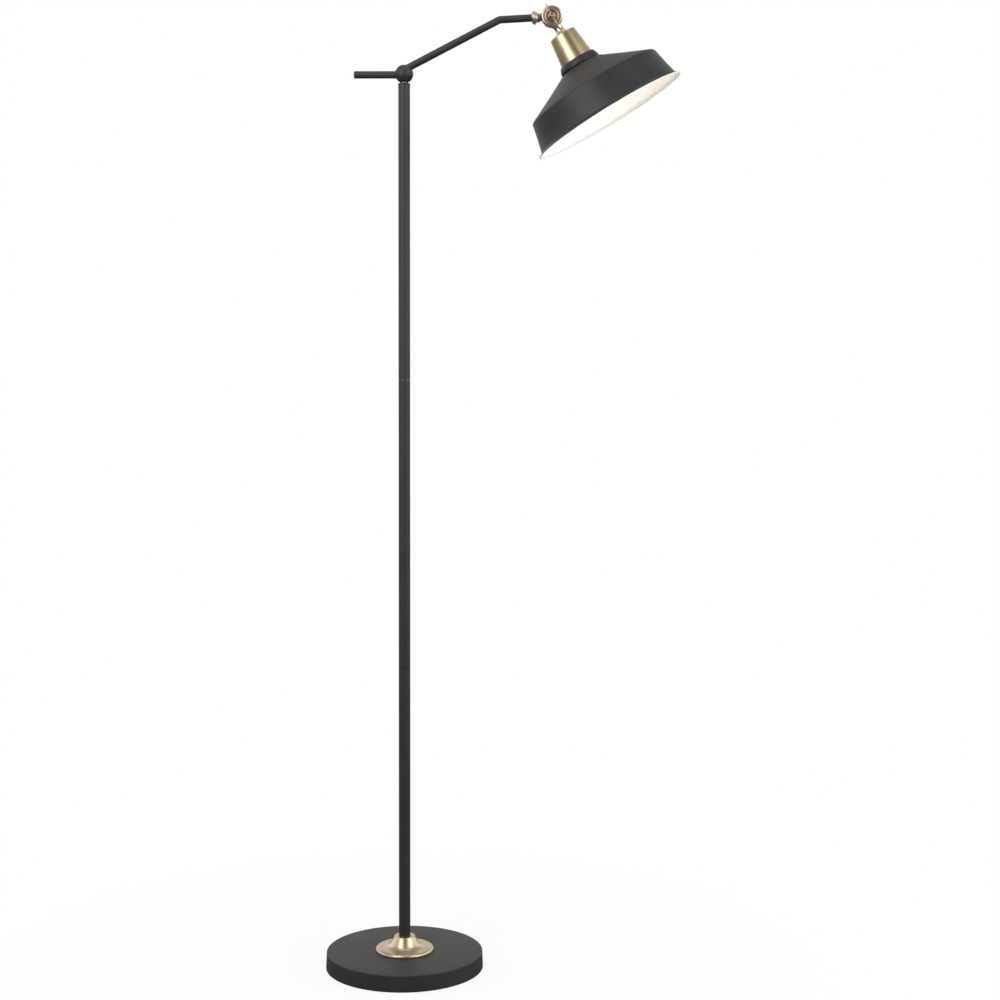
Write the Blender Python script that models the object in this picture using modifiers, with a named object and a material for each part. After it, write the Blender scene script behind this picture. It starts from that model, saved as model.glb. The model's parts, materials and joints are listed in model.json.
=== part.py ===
"""Adjustable arm floor lamp: weighted round base, three-piece pole, swivelling cranked arm,
knuckle with a wing nut, and a turned metal shade round an E27 lampholder.

Metres, +Z up. The origin is the centre of the base's underside, on the floor. The arm points
along +X and the knuckle's screw lies along Y, with its wing nut on the -Y side.
"""

from math import cos, pi, radians, sin, sqrt, tan

import bmesh
import bpy
from mathutils import Euler, Matrix, Vector

# Gap kept between two pieces that touch.
GAP = 0.0003

# Base
BASE_RADIUS = 0.127
BASE_TOP = 0.0275
BASE_EDGE = 0.0015
BASE_DRAFT = 0.0010
COVER_WALL = 0.0015
COVER_FOOT = 0.0012
PAD_RADIUS = 0.122
PAD_THICKNESS = 0.002
PLATE_THICKNESS = 0.001
WEIGHT_RADIUS = 0.120
WEIGHT_BOTTOM = 0.009
WEIGHT_RECESS_RADIUS = 0.021
WEIGHT_RECESS_TOP = 0.0165
NIPPLE_RADIUS = 0.005
NIPPLE_BORE = 0.0033
NIPPLE_BOTTOM = 0.0095
NIPPLE_TOP = 0.062
PLATE_SCREW_CIRCLE = 0.095
PLATE_SCREW_RADIUS = 0.002
INLET_HEIGHT = 0.0125
INLET_RADIUS = 0.0062
INLET_BORE = 0.0035
COLLAR_RADIUS = 0.047
COLLAR_FLANGE = 0.0055
COLLAR_RIM = 0.0166
COLLAR_SLOPE = 60
COLLAR_FILLET = 0.0115
COLLAR_TOP = 0.0515

# Pole
POLE_RADIUS = 0.00925
POLE_BORE = 0.008
POLE_TOP = 1.4112
POLE_SECTIONS = 3
COUPLER_LENGTH = 0.036
LEAD_RADIUS = 0.0020

# Swivel on top of the pole
BALL_CENTRE = 1.4275
BALL_RADIUS = 0.01435
STEM_RADIUS = 0.0045
STEM_BORE = 0.003
SWIVEL_CAP_LIP = 0.0098
SWIVEL_CAP_RIM = 0.001

# Arm and stub handle. The sockets are how far from the ball's centre the two tubes stop
# inside it; the last three are distances back along the arm from the knuckle's centre.
ARM_RADIUS = 0.0057
ARM_BORE = 0.0046
ARM_SLOPE = radians(27.26)
ARM_END_SLOPE = radians(3.2)
ARM_RISE_AT_POLE = 0.0064
ARM_SOCKET = 0.0035
ELBOW_X = 0.149
ELBOW_RADIUS = 0.011
STUB_END = -0.0784
STUB_DROP = 0.0012
STUB_SOCKET = 0.0075
ARM_TUBE_END = 0.0290
COUPLING_FRONT = 0.0186
COUPLING_BACK = 0.0318

# Knuckle, whose centre is the head's pivot
KNUCKLE_X = 0.2306
LUG_RADIUS = 0.0165
LUG_THICKNESS = 0.0087
LUG_INNER_FACE = 0.0008
LUG_RING_RADIUS = 0.0107
LUG_RECESS_RADIUS = 0.0083
LUG_RECESS_DEPTH = 0.002
SCREW_RADIUS = 0.0025
WING_SPAN = 0.0365
WING_THICKNESS = 0.0016

# Head: distances run down the head's own axis from the knuckle's centre
HEAD_TILT = radians(30.9)
HEAD_STEM_END = 0.0306
CUP_TOP = 0.0308
CUP_SHOULDER = 0.0340
CUP_BOTTOM = 0.0764
CUP_SHOULDER_RADIUS = 0.0219
CUP_BOTTOM_RADIUS = 0.0268
CUP_WALL = 0.0011
NECK_TOP = 0.0767
NECK_BOTTOM = 0.0884
NECK_TOP_RADIUS = 0.0296
NECK_BOTTOM_RADIUS = 0.0331
SHADE_TOP = 0.0887
SHADE_WALL = 0.0009
SHADE_HOLE = 0.0206
SHADE_CROWN_RADIUS = 0.031
SHADE_SHOULDER = 0.1285
SHADE_SHOULDER_RADIUS = 0.1106
SHADE_SKIRT_END = 0.1730
SHADE_SKIRT_RADIUS = 0.1206
SHADE_RIM = 0.1795
SHADE_RIM_RADIUS = 0.1276
HOLDER_TOP = 0.0400
HOLDER_RADIUS = 0.0195
BULB_SEAT = 0.0625
BULB_TIP = 0.1702
BULB_RADIUS = 0.030

FINISHES = {
    "black_paint": ((0.045, 0.044, 0.043), 0.45, 0.0),
    "white_paint": ((0.86, 0.84, 0.78), 0.5, 0.0),
    "antique_brass": ((0.50, 0.36, 0.19), 0.32, 1.0),
    "plated_steel": ((0.62, 0.62, 0.60), 0.35, 1.0),
    "cast_iron": ((0.10, 0.10, 0.10), 0.8, 0.9),
    "black_plastic": ((0.02, 0.02, 0.02), 0.5, 0.0),
    "black_rubber": ((0.025, 0.025, 0.025), 0.75, 0.0),
    "opal_glass": ((0.95, 0.90, 0.78), 0.2, 0.0),
    "felt": ((0.03, 0.03, 0.03), 0.95, 0.0),
}


def clear_scene():
    for item in list(bpy.data.objects):
        bpy.data.objects.remove(item, do_unlink=True)


def new_collection(name):
    collection = bpy.data.collections.new(name)
    bpy.context.scene.collection.children.link(collection)
    return collection


def finish_material(node, finish):
    """Each piece has its own material, with the colour and gloss of its finish."""
    colour, roughness, metallic = FINISHES[finish]
    material = bpy.data.materials.new(node + "_" + finish)
    material.use_nodes = True
    shader = material.node_tree.nodes["Principled BSDF"]
    shader.inputs["Base Color"].default_value = (*colour, 1.0)
    shader.inputs["Roughness"].default_value = roughness
    shader.inputs["Metallic"].default_value = metallic
    return material


def add_piece(name, mesh, finish, parent=None, location=(0, 0, 0), rotation=(0, 0, 0)):
    piece = bpy.data.objects.new(name, mesh)
    LAMP.objects.link(piece)
    mesh.materials.append(finish_material(name, finish))
    place(piece, parent, location, rotation)
    return piece


def place(item, parent, location, rotation=(0, 0, 0)):
    item.parent = parent
    item.location = location
    item.rotation_euler = rotation


def add_empty(name, location, rotation=(0, 0, 0)):
    empty = bpy.data.objects.new(name, None)
    empty.empty_display_size = 0.03
    LAMP.objects.link(empty)
    empty.location = location
    empty.rotation_euler = rotation
    return empty


def arc(centre_r, centre_z, radius, start, end, points=5):
    """Points along a round corner, with angles in degrees from the +R direction."""
    turned_points = []
    for i in range(points):
        angle = radians(start + (end - start) * i / (points - 1))
        turned_points.append((centre_r + radius * cos(angle), centre_z + radius * sin(angle)))
    return turned_points


def profile_mesh(name, profile, closed):
    mesh = bpy.data.meshes.new(name)
    edges = [(i, i + 1) for i in range(len(profile) - 1)]
    if closed:
        edges.append((len(profile) - 1, 0))
    mesh.from_pydata([(r, 0.0, z) for r, z in profile], edges, [])
    return mesh


def add_screw(piece, steps):
    screw = piece.modifiers.new("Turn", "SCREW")
    screw.axis = "Z"
    screw.angle = 2 * pi
    screw.steps = steps
    screw.render_steps = steps
    screw.use_merge_vertices = True
    screw.merge_threshold = 0.00001
    screw.use_smooth_shade = True
    return screw


def turned_solid(name, profile, finish, steps=32, **where):
    """A piece turned about its own Z from a profile that starts and ends on that axis."""
    piece = add_piece(name, profile_mesh(name, profile, False), finish, **where)
    add_screw(piece, steps)
    return piece


def turned_ring(name, profile, finish, steps=32, **where):
    """A hollow piece turned about its own Z: the profile goes down outside and up inside."""
    piece = add_piece(name, profile_mesh(name, profile, True), finish, **where)
    add_screw(piece, steps)
    return piece


def turned_open_vessel(name, profile, finish, steps, parent):
    """A vessel whose loop touches the axis at its closed end: outside down, inside back up."""
    piece = add_piece(name, profile_mesh(name, profile, True), finish, parent)
    bm = bmesh.new()
    bm.from_mesh(piece.data)
    on_axis = [edge for edge in bm.edges if all(vert.co.x == 0 for vert in edge.verts)]
    bmesh.ops.delete(bm, geom=on_axis, context="EDGES")
    bm.to_mesh(piece.data)
    bm.free()
    add_screw(piece, steps)
    return piece


def tube_profile(outer, inner, top, bottom):
    return [(outer, top), (outer, bottom), (inner, bottom), (inner, top)]


def shade_rounds(mesh):
    mesh.shade_smooth()
    mesh.set_sharp_from_angle(angle=radians(40))


def cylinder_mesh(name, radius, depth, segments=24):
    mesh = bpy.data.meshes.new(name)
    bm = bmesh.new()
    bmesh.ops.create_cone(
        bm, cap_ends=True, segments=segments, radius1=radius, radius2=radius, depth=depth
    )
    bm.to_mesh(mesh)
    bm.free()
    shade_rounds(mesh)
    return mesh


def box_mesh(name, size):
    mesh = bpy.data.meshes.new(name)
    bm = bmesh.new()
    bmesh.ops.create_cube(bm, size=1.0)
    bmesh.ops.scale(bm, vec=size, verts=bm.verts)
    bm.to_mesh(mesh)
    bm.free()
    return mesh


def add_tool(name, mesh, parent=None, location=(0, 0, 0), rotation=(0, 0, 0)):
    """A shape that only cuts or joins another one."""
    tool = bpy.data.objects.new(name, mesh)
    TOOLS.objects.link(tool)
    tool.hide_render = True
    tool.display_type = "WIRE"
    place(tool, parent, location, rotation)
    return tool


def combine(piece, tool, operation):
    boolean = piece.modifiers.new(operation.title(), "BOOLEAN")
    boolean.operation = operation
    boolean.solver = "EXACT"
    boolean.object = tool


def mesh_from_curve(curve_object):
    """The curve's tube as a mesh with its end caps joined on, so that it can be cut."""
    bpy.context.view_layer.update()
    graph = bpy.context.evaluated_depsgraph_get()
    mesh = bpy.data.meshes.new_from_object(curve_object.evaluated_get(graph))
    bm = bmesh.new()
    bm.from_mesh(mesh)
    bmesh.ops.remove_doubles(bm, verts=bm.verts, dist=0.000001)
    bm.to_mesh(mesh)
    bm.free()
    mesh.materials.clear()
    shade_rounds(mesh)
    return mesh


def swept_tube(name, points, radius, resolution=4):
    """A round bar along straight or smoothly spaced points."""
    curve = bpy.data.curves.new(name, "CURVE")
    curve.dimensions = "3D"
    curve.bevel_depth = radius
    curve.bevel_resolution = resolution
    curve.use_fill_caps = True
    spline = curve.splines.new("POLY")
    spline.points.add(len(points) - 1)
    for point, place_at in zip(spline.points, points):
        point.co = (*place_at, 1.0)
    holder = bpy.data.objects.new(name + "_path", curve)
    TOOLS.objects.link(holder)
    mesh = mesh_from_curve(holder)
    bpy.data.objects.remove(holder, do_unlink=True)
    return mesh


def flat_outline_mesh(name, outline, thickness):
    """A flat plate in the XY plane, cut to an outline and centred on Z = 0."""
    curve = bpy.data.curves.new(name, "CURVE")
    curve.dimensions = "2D"
    curve.fill_mode = "BOTH"
    curve.extrude = thickness / 2
    spline = curve.splines.new("POLY")
    spline.points.add(len(outline) - 1)
    spline.use_cyclic_u = True
    for point, (x, y) in zip(spline.points, outline):
        point.co = (x, y, 0.0, 1.0)
    holder = bpy.data.objects.new(name + "_outline", curve)
    TOOLS.objects.link(holder)
    mesh = mesh_from_curve(holder)
    bpy.data.objects.remove(holder, do_unlink=True)
    return mesh


def hex_nut(name, across_flats, bore, bottom, height, finish, **where):
    corner_radius = across_flats / sqrt(3)
    nut = add_piece(name, cylinder_mesh(name, corner_radius, height, 6), finish, **where)
    middle = Vector(nut.location)
    middle.z += bottom + height / 2
    nut.location = middle
    hole = add_tool(name + "_hole", cylinder_mesh(name + "_hole", bore, height * 3), nut.parent, middle)
    combine(nut, hole, "DIFFERENCE")
    return nut


# ---------------------------------------------------------------- base


def make_base_cover():
    """Pressed steel cover, open underneath, with a hole for the nipple and one for the inlet."""
    top_radius = BASE_RADIUS - BASE_DRAFT
    inner_top = BASE_TOP - COVER_WALL
    profile = [(NIPPLE_RADIUS + GAP, BASE_TOP)]
    profile += arc(top_radius - BASE_EDGE, BASE_TOP - BASE_EDGE, BASE_EDGE, 90, 0, 3)
    profile += [
        (BASE_RADIUS, COVER_FOOT),
        (BASE_RADIUS - COVER_WALL, COVER_FOOT),
        (top_radius - COVER_WALL, inner_top - COVER_WALL),
        (top_radius - 2 * COVER_WALL, inner_top),
        (NIPPLE_RADIUS + GAP, inner_top),
    ]
    cover = turned_ring("base_cover", profile, "black_paint", 48)
    hole_at = (0, BASE_RADIUS, INLET_HEIGHT)
    hole = cylinder_mesh("inlet_hole", INLET_RADIUS + GAP, 0.02, 20)
    combine(cover, add_tool("inlet_hole", hole, None, hole_at, (pi / 2, 0, 0)), "DIFFERENCE")


def make_base_weight():
    """Cast disc under the cover's top, recessed below for the nut and bored for three screws."""
    top = BASE_TOP - COVER_WALL - GAP
    profile = [
        (NIPPLE_RADIUS + GAP, top),
        (WEIGHT_RADIUS - 0.002, top),
        (WEIGHT_RADIUS, top - 0.002),
        (WEIGHT_RADIUS, WEIGHT_BOTTOM),
        (WEIGHT_RECESS_RADIUS, WEIGHT_BOTTOM),
        (WEIGHT_RECESS_RADIUS, WEIGHT_RECESS_TOP),
        (NIPPLE_RADIUS + GAP, WEIGHT_RECESS_TOP),
    ]
    weight = turned_ring("base_weight", profile, "cast_iron", 32)
    for i, spot in enumerate(plate_screw_places()):
        drill = cylinder_mesh("weight_drill", PLATE_SCREW_RADIUS + GAP, 0.016, 8)
        drill_at = (spot[0], spot[1], WEIGHT_BOTTOM)
        combine(weight, add_tool(f"weight_drill_{i}", drill, None, drill_at), "DIFFERENCE")


def plate_screw_places():
    return [
        (PLATE_SCREW_CIRCLE * cos(angle), PLATE_SCREW_CIRCLE * sin(angle))
        for angle in (radians(30), radians(150), radians(270))
    ]


def make_base_plate():
    """Thin steel disc that closes the base, drilled for its three screws."""
    bottom = PAD_THICKNESS + GAP
    middle = bottom + PLATE_THICKNESS / 2
    disc = cylinder_mesh("base_plate", BASE_RADIUS - 2 * COVER_WALL, PLATE_THICKNESS, 32)
    plate = add_piece("base_plate", disc, "plated_steel", location=(0, 0, middle))
    for i, spot in enumerate(plate_screw_places()):
        drill = cylinder_mesh("plate_drill", PLATE_SCREW_RADIUS + GAP, 0.01, 8)
        drill_at = (spot[0], spot[1], middle)
        combine(plate, add_tool(f"plate_drill_{i}", drill, None, drill_at), "DIFFERENCE")


def make_base_pad():
    """Felt disc glued under the plate. The lamp stands on it."""
    disc = cylinder_mesh("base_pad", PAD_RADIUS, PAD_THICKNESS, 40)
    add_piece("base_pad", disc, "felt", location=(0, 0, PAD_THICKNESS / 2))


def make_plate_screws():
    """Three like screws that hold the plate to the weight."""
    bottom = PAD_THICKNESS + 2 * GAP
    length = 0.0138
    for i, (x, y) in enumerate(plate_screw_places(), 1):
        name = f"plate_screw_{i}"
        mesh = cylinder_mesh(name, PLATE_SCREW_RADIUS, length, 8)
        add_piece(name, mesh, "plated_steel", location=(x, y, bottom + length / 2))


def make_base_fixings():
    """The hollow threaded nipple that ties pole, cover and weight, with its washer and nut."""
    nipple = tube_profile(NIPPLE_RADIUS, NIPPLE_BORE, NIPPLE_TOP, NIPPLE_BOTTOM)
    turned_ring("base_nipple", nipple, "plated_steel", 16)
    washer_top = WEIGHT_RECESS_TOP - GAP
    washer_bottom = washer_top - 0.0015
    washer = tube_profile(0.0175, NIPPLE_RADIUS + GAP, washer_top, washer_bottom)
    turned_ring("base_washer", washer, "plated_steel", 16)
    nut_height = 0.0045
    nut_bottom = washer_bottom - GAP - nut_height
    hex_nut("base_nut", 0.016, NIPPLE_RADIUS + GAP, nut_bottom, nut_height, "plated_steel")
    plug_bottom = BASE_TOP + 2 * GAP
    plug = tube_profile(POLE_BORE - GAP, NIPPLE_RADIUS + GAP, plug_bottom + 0.025, plug_bottom)
    turned_ring("pole_foot_plug", plug, "plated_steel", 16)


def make_cable_inlet():
    """Rubber grommet in the back of the cover, grooved to grip the cover's edge."""
    outer = 0.0022
    lip = 0.0014
    groove = COVER_WALL + 2 * GAP
    profile = [
        (INLET_BORE, outer),
        (INLET_RADIUS, outer),
        (INLET_RADIUS + lip, outer - 0.001),
        (INLET_RADIUS + lip, GAP * 3),
        (INLET_RADIUS, GAP * 3),
        (INLET_RADIUS, -groove - GAP * 2),
        (INLET_RADIUS + lip / 2, -groove - GAP * 2),
        (INLET_RADIUS + lip / 2, -groove - 0.0022),
        (INLET_BORE, -groove - 0.0022),
    ]
    turned_ring(
        "cable_inlet",
        profile,
        "black_rubber",
        20,
        location=(0, BASE_RADIUS - 0.0001, INLET_HEIGHT),
        rotation=(-pi / 2, 0, 0),
    )


def make_base_collar():
    """Turned brass bell over the foot of the pole: a steep cone, filleted into a flat flange."""
    flange_bottom = BASE_TOP + GAP
    flange_top = flange_bottom + COLLAR_FLANGE
    edge = 0.0018
    rim_edge = 0.0005
    slope = radians(COLLAR_SLOPE)
    cone_bottom = flange_top + COLLAR_FILLET * (1 - cos(slope))
    cone_foot = COLLAR_RIM + (COLLAR_TOP - rim_edge - cone_bottom) / tan(slope)
    fillet_r = cone_foot + COLLAR_FILLET * sin(slope)
    fillet_z = flange_top + COLLAR_FILLET
    profile = [(POLE_RADIUS + GAP, COLLAR_TOP), (COLLAR_RIM - rim_edge, COLLAR_TOP)]
    profile.append((COLLAR_RIM, COLLAR_TOP - rim_edge))
    profile += arc(fillet_r, fillet_z, COLLAR_FILLET, -90 - COLLAR_SLOPE, -90, 5)
    profile += arc(COLLAR_RADIUS - edge, flange_top - edge, edge, 90, 0, 3)
    profile += arc(COLLAR_RADIUS - edge, flange_bottom + edge, edge, 0, -90, 3)
    profile.append((POLE_RADIUS + GAP, flange_bottom))
    turned_ring("base_collar", profile, "antique_brass", 32)


# ---------------------------------------------------------------- pole


def make_pole():
    """Three screwed sections of steel tube with a hollow threaded coupler inside each joint."""
    bottom = BASE_TOP + GAP
    length = (POLE_TOP - bottom) / POLE_SECTIONS
    names = ("pole_lower", "pole_middle", "pole_upper")
    for i, name in enumerate(names):
        low = bottom + i * length + GAP / 2
        high = bottom + (i + 1) * length - GAP / 2
        profile = tube_profile(POLE_RADIUS, POLE_BORE, high, low)
        turned_ring(name, profile, "black_paint", 24)
    for i in range(1, POLE_SECTIONS):
        joint = bottom + i * length
        half = COUPLER_LENGTH / 2
        profile = tube_profile(POLE_BORE - GAP, NIPPLE_RADIUS, joint + half, joint - half)
        turned_ring(f"pole_coupler_{i}", profile, "plated_steel", 16)


def make_pole_lead():
    """Inner lead: from behind the inlet, under the weight, and up through nipple and pole."""
    level = PAD_THICKNESS + PLATE_THICKNESS + 2 * GAP + LEAD_RADIUS + 0.0004
    bend = 0.006
    turn = [
        (0, bend * (1 - sin(radians(a))), level + bend * (1 - cos(radians(a))))
        for a in range(0, 91, 15)
    ]
    route = [(0, 0.108, level + 0.001), (0, 0.060, level)] + turn
    route += [(0, 0, 0.5), (0, 0, 1.0), (0, 0, POLE_TOP - 0.022)]
    add_piece("pole_lead", swept_tube("pole_lead", route, LEAD_RADIUS, 2), "black_rubber")


# ---------------------------------------------------------------- swivel


def make_swivel(pivot):
    """Cap in the pole's top, and the hollow stem that turns in it with the ball."""
    cap_top = POLE_TOP + GAP + SWIVEL_CAP_RIM
    cap_bottom = POLE_TOP - 0.008
    cap = [
        (SWIVEL_CAP_LIP - 0.0004, cap_top),
        (SWIVEL_CAP_LIP, cap_top - 0.0004),
        (SWIVEL_CAP_LIP, POLE_TOP + GAP),
        (POLE_BORE - GAP, POLE_TOP + GAP),
        (POLE_BORE - GAP, cap_bottom),
        (STEM_RADIUS + GAP, cap_bottom),
        (STEM_RADIUS + GAP, cap_top),
    ]
    turned_ring("pole_top_cap", cap, "black_paint", 24)

    below_pivot = -BALL_CENTRE
    washer_bottom = cap_top + GAP
    washer = tube_profile(0.0070, STEM_RADIUS + GAP, washer_bottom + 0.0008, washer_bottom)
    washer = [(r, z + below_pivot) for r, z in washer]
    turned_ring("swivel_washer", washer, "black_plastic", 24, parent=pivot)

    stem_bottom = cap_bottom - 0.010
    stem = tube_profile(STEM_RADIUS, STEM_BORE, -0.0065, stem_bottom + below_pivot)
    turned_ring("swivel_stem", stem, "plated_steel", 16, parent=pivot)

    spring_top = cap_bottom - GAP
    spring = tube_profile(0.0068, STEM_RADIUS + GAP, spring_top, spring_top - 0.0016)
    spring = [(r, z + below_pivot) for r, z in spring]
    turned_ring("swivel_spring_washer", spring, "plated_steel", 16, parent=pivot)

    nut_height = 0.004
    nut_bottom = spring_top - 0.0016 - GAP - nut_height + below_pivot
    hex_nut(
        "swivel_nut", 0.013, STEM_RADIUS + GAP, nut_bottom, nut_height, "plated_steel", parent=pivot
    )


def make_ball(pivot):
    """Ball bored for the arm, the stub handle and the stem; the bores meet for the lead."""
    mesh = bpy.data.meshes.new("ball")
    bm = bmesh.new()
    bmesh.ops.create_uvsphere(bm, u_segments=20, v_segments=12, radius=BALL_RADIUS)
    bm.to_mesh(mesh)
    bm.free()
    shade_rounds(mesh)
    ball = add_piece("ball", mesh, "black_paint", pivot)
    foot = box_mesh("ball_foot_cut", (0.04, 0.04, 0.01))
    combine(ball, add_tool("ball_foot_cut", foot, pivot, (0, 0, -0.0127 - 0.005)), "DIFFERENCE")

    depth = 0.02
    along = Vector((cos(ARM_SLOPE), 0, sin(ARM_SLOPE)))
    start = Vector((0, 0, ARM_RISE_AT_POLE)) + along * ARM_SOCKET
    arm_bore = cylinder_mesh("ball_arm_bore", ARM_RADIUS + GAP, depth, 16)
    arm_at = start + along * (depth / 2)
    turn = (0, pi / 2 - ARM_SLOPE, 0)
    combine(ball, add_tool("ball_arm_bore", arm_bore, pivot, arm_at, turn), "DIFFERENCE")

    stub_bore = cylinder_mesh("ball_stub_bore", ARM_RADIUS + GAP, depth, 16)
    stub_at = (-STUB_SOCKET - depth / 2, 0, -STUB_DROP)
    combine(ball, add_tool("ball_stub_bore", stub_bore, pivot, stub_at, (0, pi / 2, 0)), "DIFFERENCE")

    stem_bore = cylinder_mesh("ball_stem_bore", STEM_RADIUS + GAP, depth, 16)
    stem_at = (0, 0, 0.006 - depth / 2)
    combine(ball, add_tool("ball_stem_bore", stem_bore, pivot, stem_at), "DIFFERENCE")


def make_stub(pivot):
    """Short handle tube opposite the arm, closed by a flat cap."""
    turn = (0, -pi / 2, 0)
    length = -STUB_END - 0.0012
    tube = tube_profile(ARM_RADIUS, ARM_BORE, length, STUB_SOCKET + GAP)
    turned_ring(
        "stub_handle", tube, "black_paint", 16, parent=pivot, location=(0, 0, -STUB_DROP), rotation=turn
    )
    cap = [
        (0, -STUB_END),
        (ARM_RADIUS - 0.0006, -STUB_END),
        (ARM_RADIUS, -STUB_END - 0.0006),
        (ARM_RADIUS, length + GAP),
        (ARM_BORE - GAP, length + GAP),
        (ARM_BORE - GAP, length - 0.005),
        (0, length - 0.005),
    ]
    turned_solid(
        "stub_end_cap", cap, "black_paint", 16, parent=pivot, location=(0, 0, -STUB_DROP), rotation=turn
    )


# ---------------------------------------------------------------- arm


def arm_centre_line(start, end):
    """The arm's centre line in the pivot's frame: sloping run, tight elbow, near-level run."""
    rise = Vector((cos(ARM_SLOPE), 0, sin(ARM_SLOPE)))
    level = Vector((cos(ARM_END_SLOPE), 0, sin(ARM_END_SLOPE)))
    elbow = Vector((ELBOW_X, 0, ARM_RISE_AT_POLE + ELBOW_X * tan(ARM_SLOPE)))
    half_turn = (ARM_SLOPE - ARM_END_SLOPE) / 2
    setback = ELBOW_RADIUS * tan(half_turn)
    first = Vector((0, 0, ARM_RISE_AT_POLE)) + rise * start
    inward = Vector((sin(ARM_SLOPE), 0, -cos(ARM_SLOPE)))
    centre = elbow - rise * setback + inward * ELBOW_RADIUS
    line = [first]
    steps = 4
    for i in range(steps + 1):
        angle = ARM_SLOPE - 2 * half_turn * i / steps
        line.append(centre + Vector((-sin(angle), 0, cos(angle))) * ELBOW_RADIUS)
    knuckle = knuckle_centre()
    line.append(knuckle - level * end)
    return line


def knuckle_centre():
    """The knuckle's centre in the pivot's frame, on the near-level run's own line."""
    elbow_height = ARM_RISE_AT_POLE + ELBOW_X * tan(ARM_SLOPE)
    height = elbow_height + (KNUCKLE_X - ELBOW_X) * tan(ARM_END_SLOPE)
    return Vector((KNUCKLE_X, 0, height))


def make_arm(pivot):
    """Bent steel tube from the ball to the coupling, with the lead inside it."""
    outside = swept_tube("arm_tube", arm_centre_line(ARM_SOCKET + GAP, ARM_TUBE_END), ARM_RADIUS, 3)
    arm = add_piece("arm_tube", outside, "black_paint", pivot)
    inside = swept_tube("arm_bore", arm_centre_line(ARM_SOCKET - 0.004, ARM_TUBE_END - 0.004), ARM_BORE, 2)
    combine(arm, add_tool("arm_bore", inside, pivot), "DIFFERENCE")
    lead = swept_tube("arm_lead", arm_centre_line(0.010, 0.0335), LEAD_RADIUS, 2)
    add_piece("arm_lead", lead, "black_rubber", pivot)


def make_arm_coupling(arm_end):
    """Flared brass coupling on the arm's end, and the dark lock ring between it and the lug."""
    bore = ARM_RADIUS + GAP
    step = ARM_TUBE_END - GAP
    front = COUPLING_FRONT
    profile = [
        (0.0071, -front),
        (0.0071, -front - 0.0035),
        (0.0085, -front - 0.0062),
        (0.0104, -front - 0.0077),
        (0.0106, -front - 0.0093),
        (0.0086, -front - 0.0116),
        (0.0068, -COUPLING_BACK),
        (bore, -COUPLING_BACK),
        (bore, -step),
        (0.0044, -step),
        (0.0044, -front),
    ]
    turned_ring("arm_coupling", profile, "antique_brass", 24, parent=arm_end)
    ring = tube_profile(0.0062, 0.0044, -0.0171, -front + GAP)
    turned_ring("arm_lock_ring", ring, "black_plastic", 16, parent=arm_end)


def lug_profile(outer_face):
    """Half section of a knuckle lug about the screw's axis, from its outer to its inner face."""
    inner_face = outer_face - LUG_THICKNESS
    edge = 0.0026
    profile = [
        (SCREW_RADIUS + GAP, outer_face - LUG_RECESS_DEPTH),
        (LUG_RECESS_RADIUS, outer_face - LUG_RECESS_DEPTH),
        (LUG_RECESS_RADIUS, outer_face + 0.0004),
        (LUG_RING_RADIUS, outer_face + 0.0004),
        (LUG_RING_RADIUS + 0.0005, outer_face - 0.0006),
    ]
    profile += arc(LUG_RADIUS - edge, outer_face - 0.0006 - edge, edge, 90, 0, 3)
    profile += [
        (LUG_RADIUS, inner_face),
        (SCREW_RADIUS + GAP, inner_face),
    ]
    return profile


def make_lug(name, parent, front, stem_profile):
    """A round lug with a stem that stays in line with the tube, half of it beside the lug."""
    outer_face = LUG_INNER_FACE + LUG_THICKNESS
    turn = (pi / 2, 0, 0) if front else (-pi / 2, 0, 0)
    lug = turned_ring(name, lug_profile(outer_face), "antique_brass", 24, parent=parent, rotation=turn)
    stem = bpy.data.objects.new(name + "_stem", profile_mesh(name + "_stem", stem_profile, False))
    TOOLS.objects.link(stem)
    stem.hide_render = True
    stem.display_type = "WIRE"
    add_screw(stem, 16)
    place(stem, parent, (0, 0, 0))
    side = 1 if front else -1
    clearance = LUG_RADIUS + 0.0005
    width = 0.03
    cut = box_mesh(name + "_clearance", (width * 2, width, clearance * 2))
    cut_at = (0, side * width / 2 - side * LUG_INNER_FACE, 0)
    combine(stem, add_tool(name + "_clearance", cut, parent, cut_at), "DIFFERENCE")
    combine(lug, stem, "UNION")
    bore = cylinder_mesh(name + "_bore", LEAD_RADIUS + GAP, 0.012, 12)
    bore_at = (0, 0, -clearance - 0.001 - 0.006)
    combine(lug, add_tool(name + "_bore", bore, parent, bore_at), "DIFFERENCE")
    return lug


def make_knuckle(arm_end, head):
    """Two brass lugs on one screw, one on the arm and one on the head."""
    spigot = [(0, -0.0125), (0.0060, -0.0125), (0.0060, -0.0168), (0.0041, -0.0168)]
    spigot += [(0.0041, -0.0260), (0, -0.0260)]
    make_lug("knuckle_arm_lug", arm_end, True, spigot)
    stem = [(0, -0.0125), (0.0086, -0.0125), (0.0086, -0.0150), (0.0074, -0.0180)]
    stem += [(0.0066, -0.0212), (0.0067, -0.0240), (0.0078, -0.0270), (0.0098, -0.0292)]
    stem += [(0.0098, -HEAD_STEM_END), (0, -HEAD_STEM_END)]
    head_lug = make_lug("knuckle_head_lug", head, False, stem)
    seat = cylinder_mesh("head_nipple_seat", NIPPLE_RADIUS + GAP, 0.016, 16)
    seat_at = (0, 0, -0.0225 - 0.008)
    combine(head_lug, add_tool("head_nipple_seat", seat, head, seat_at), "DIFFERENCE")


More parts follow.
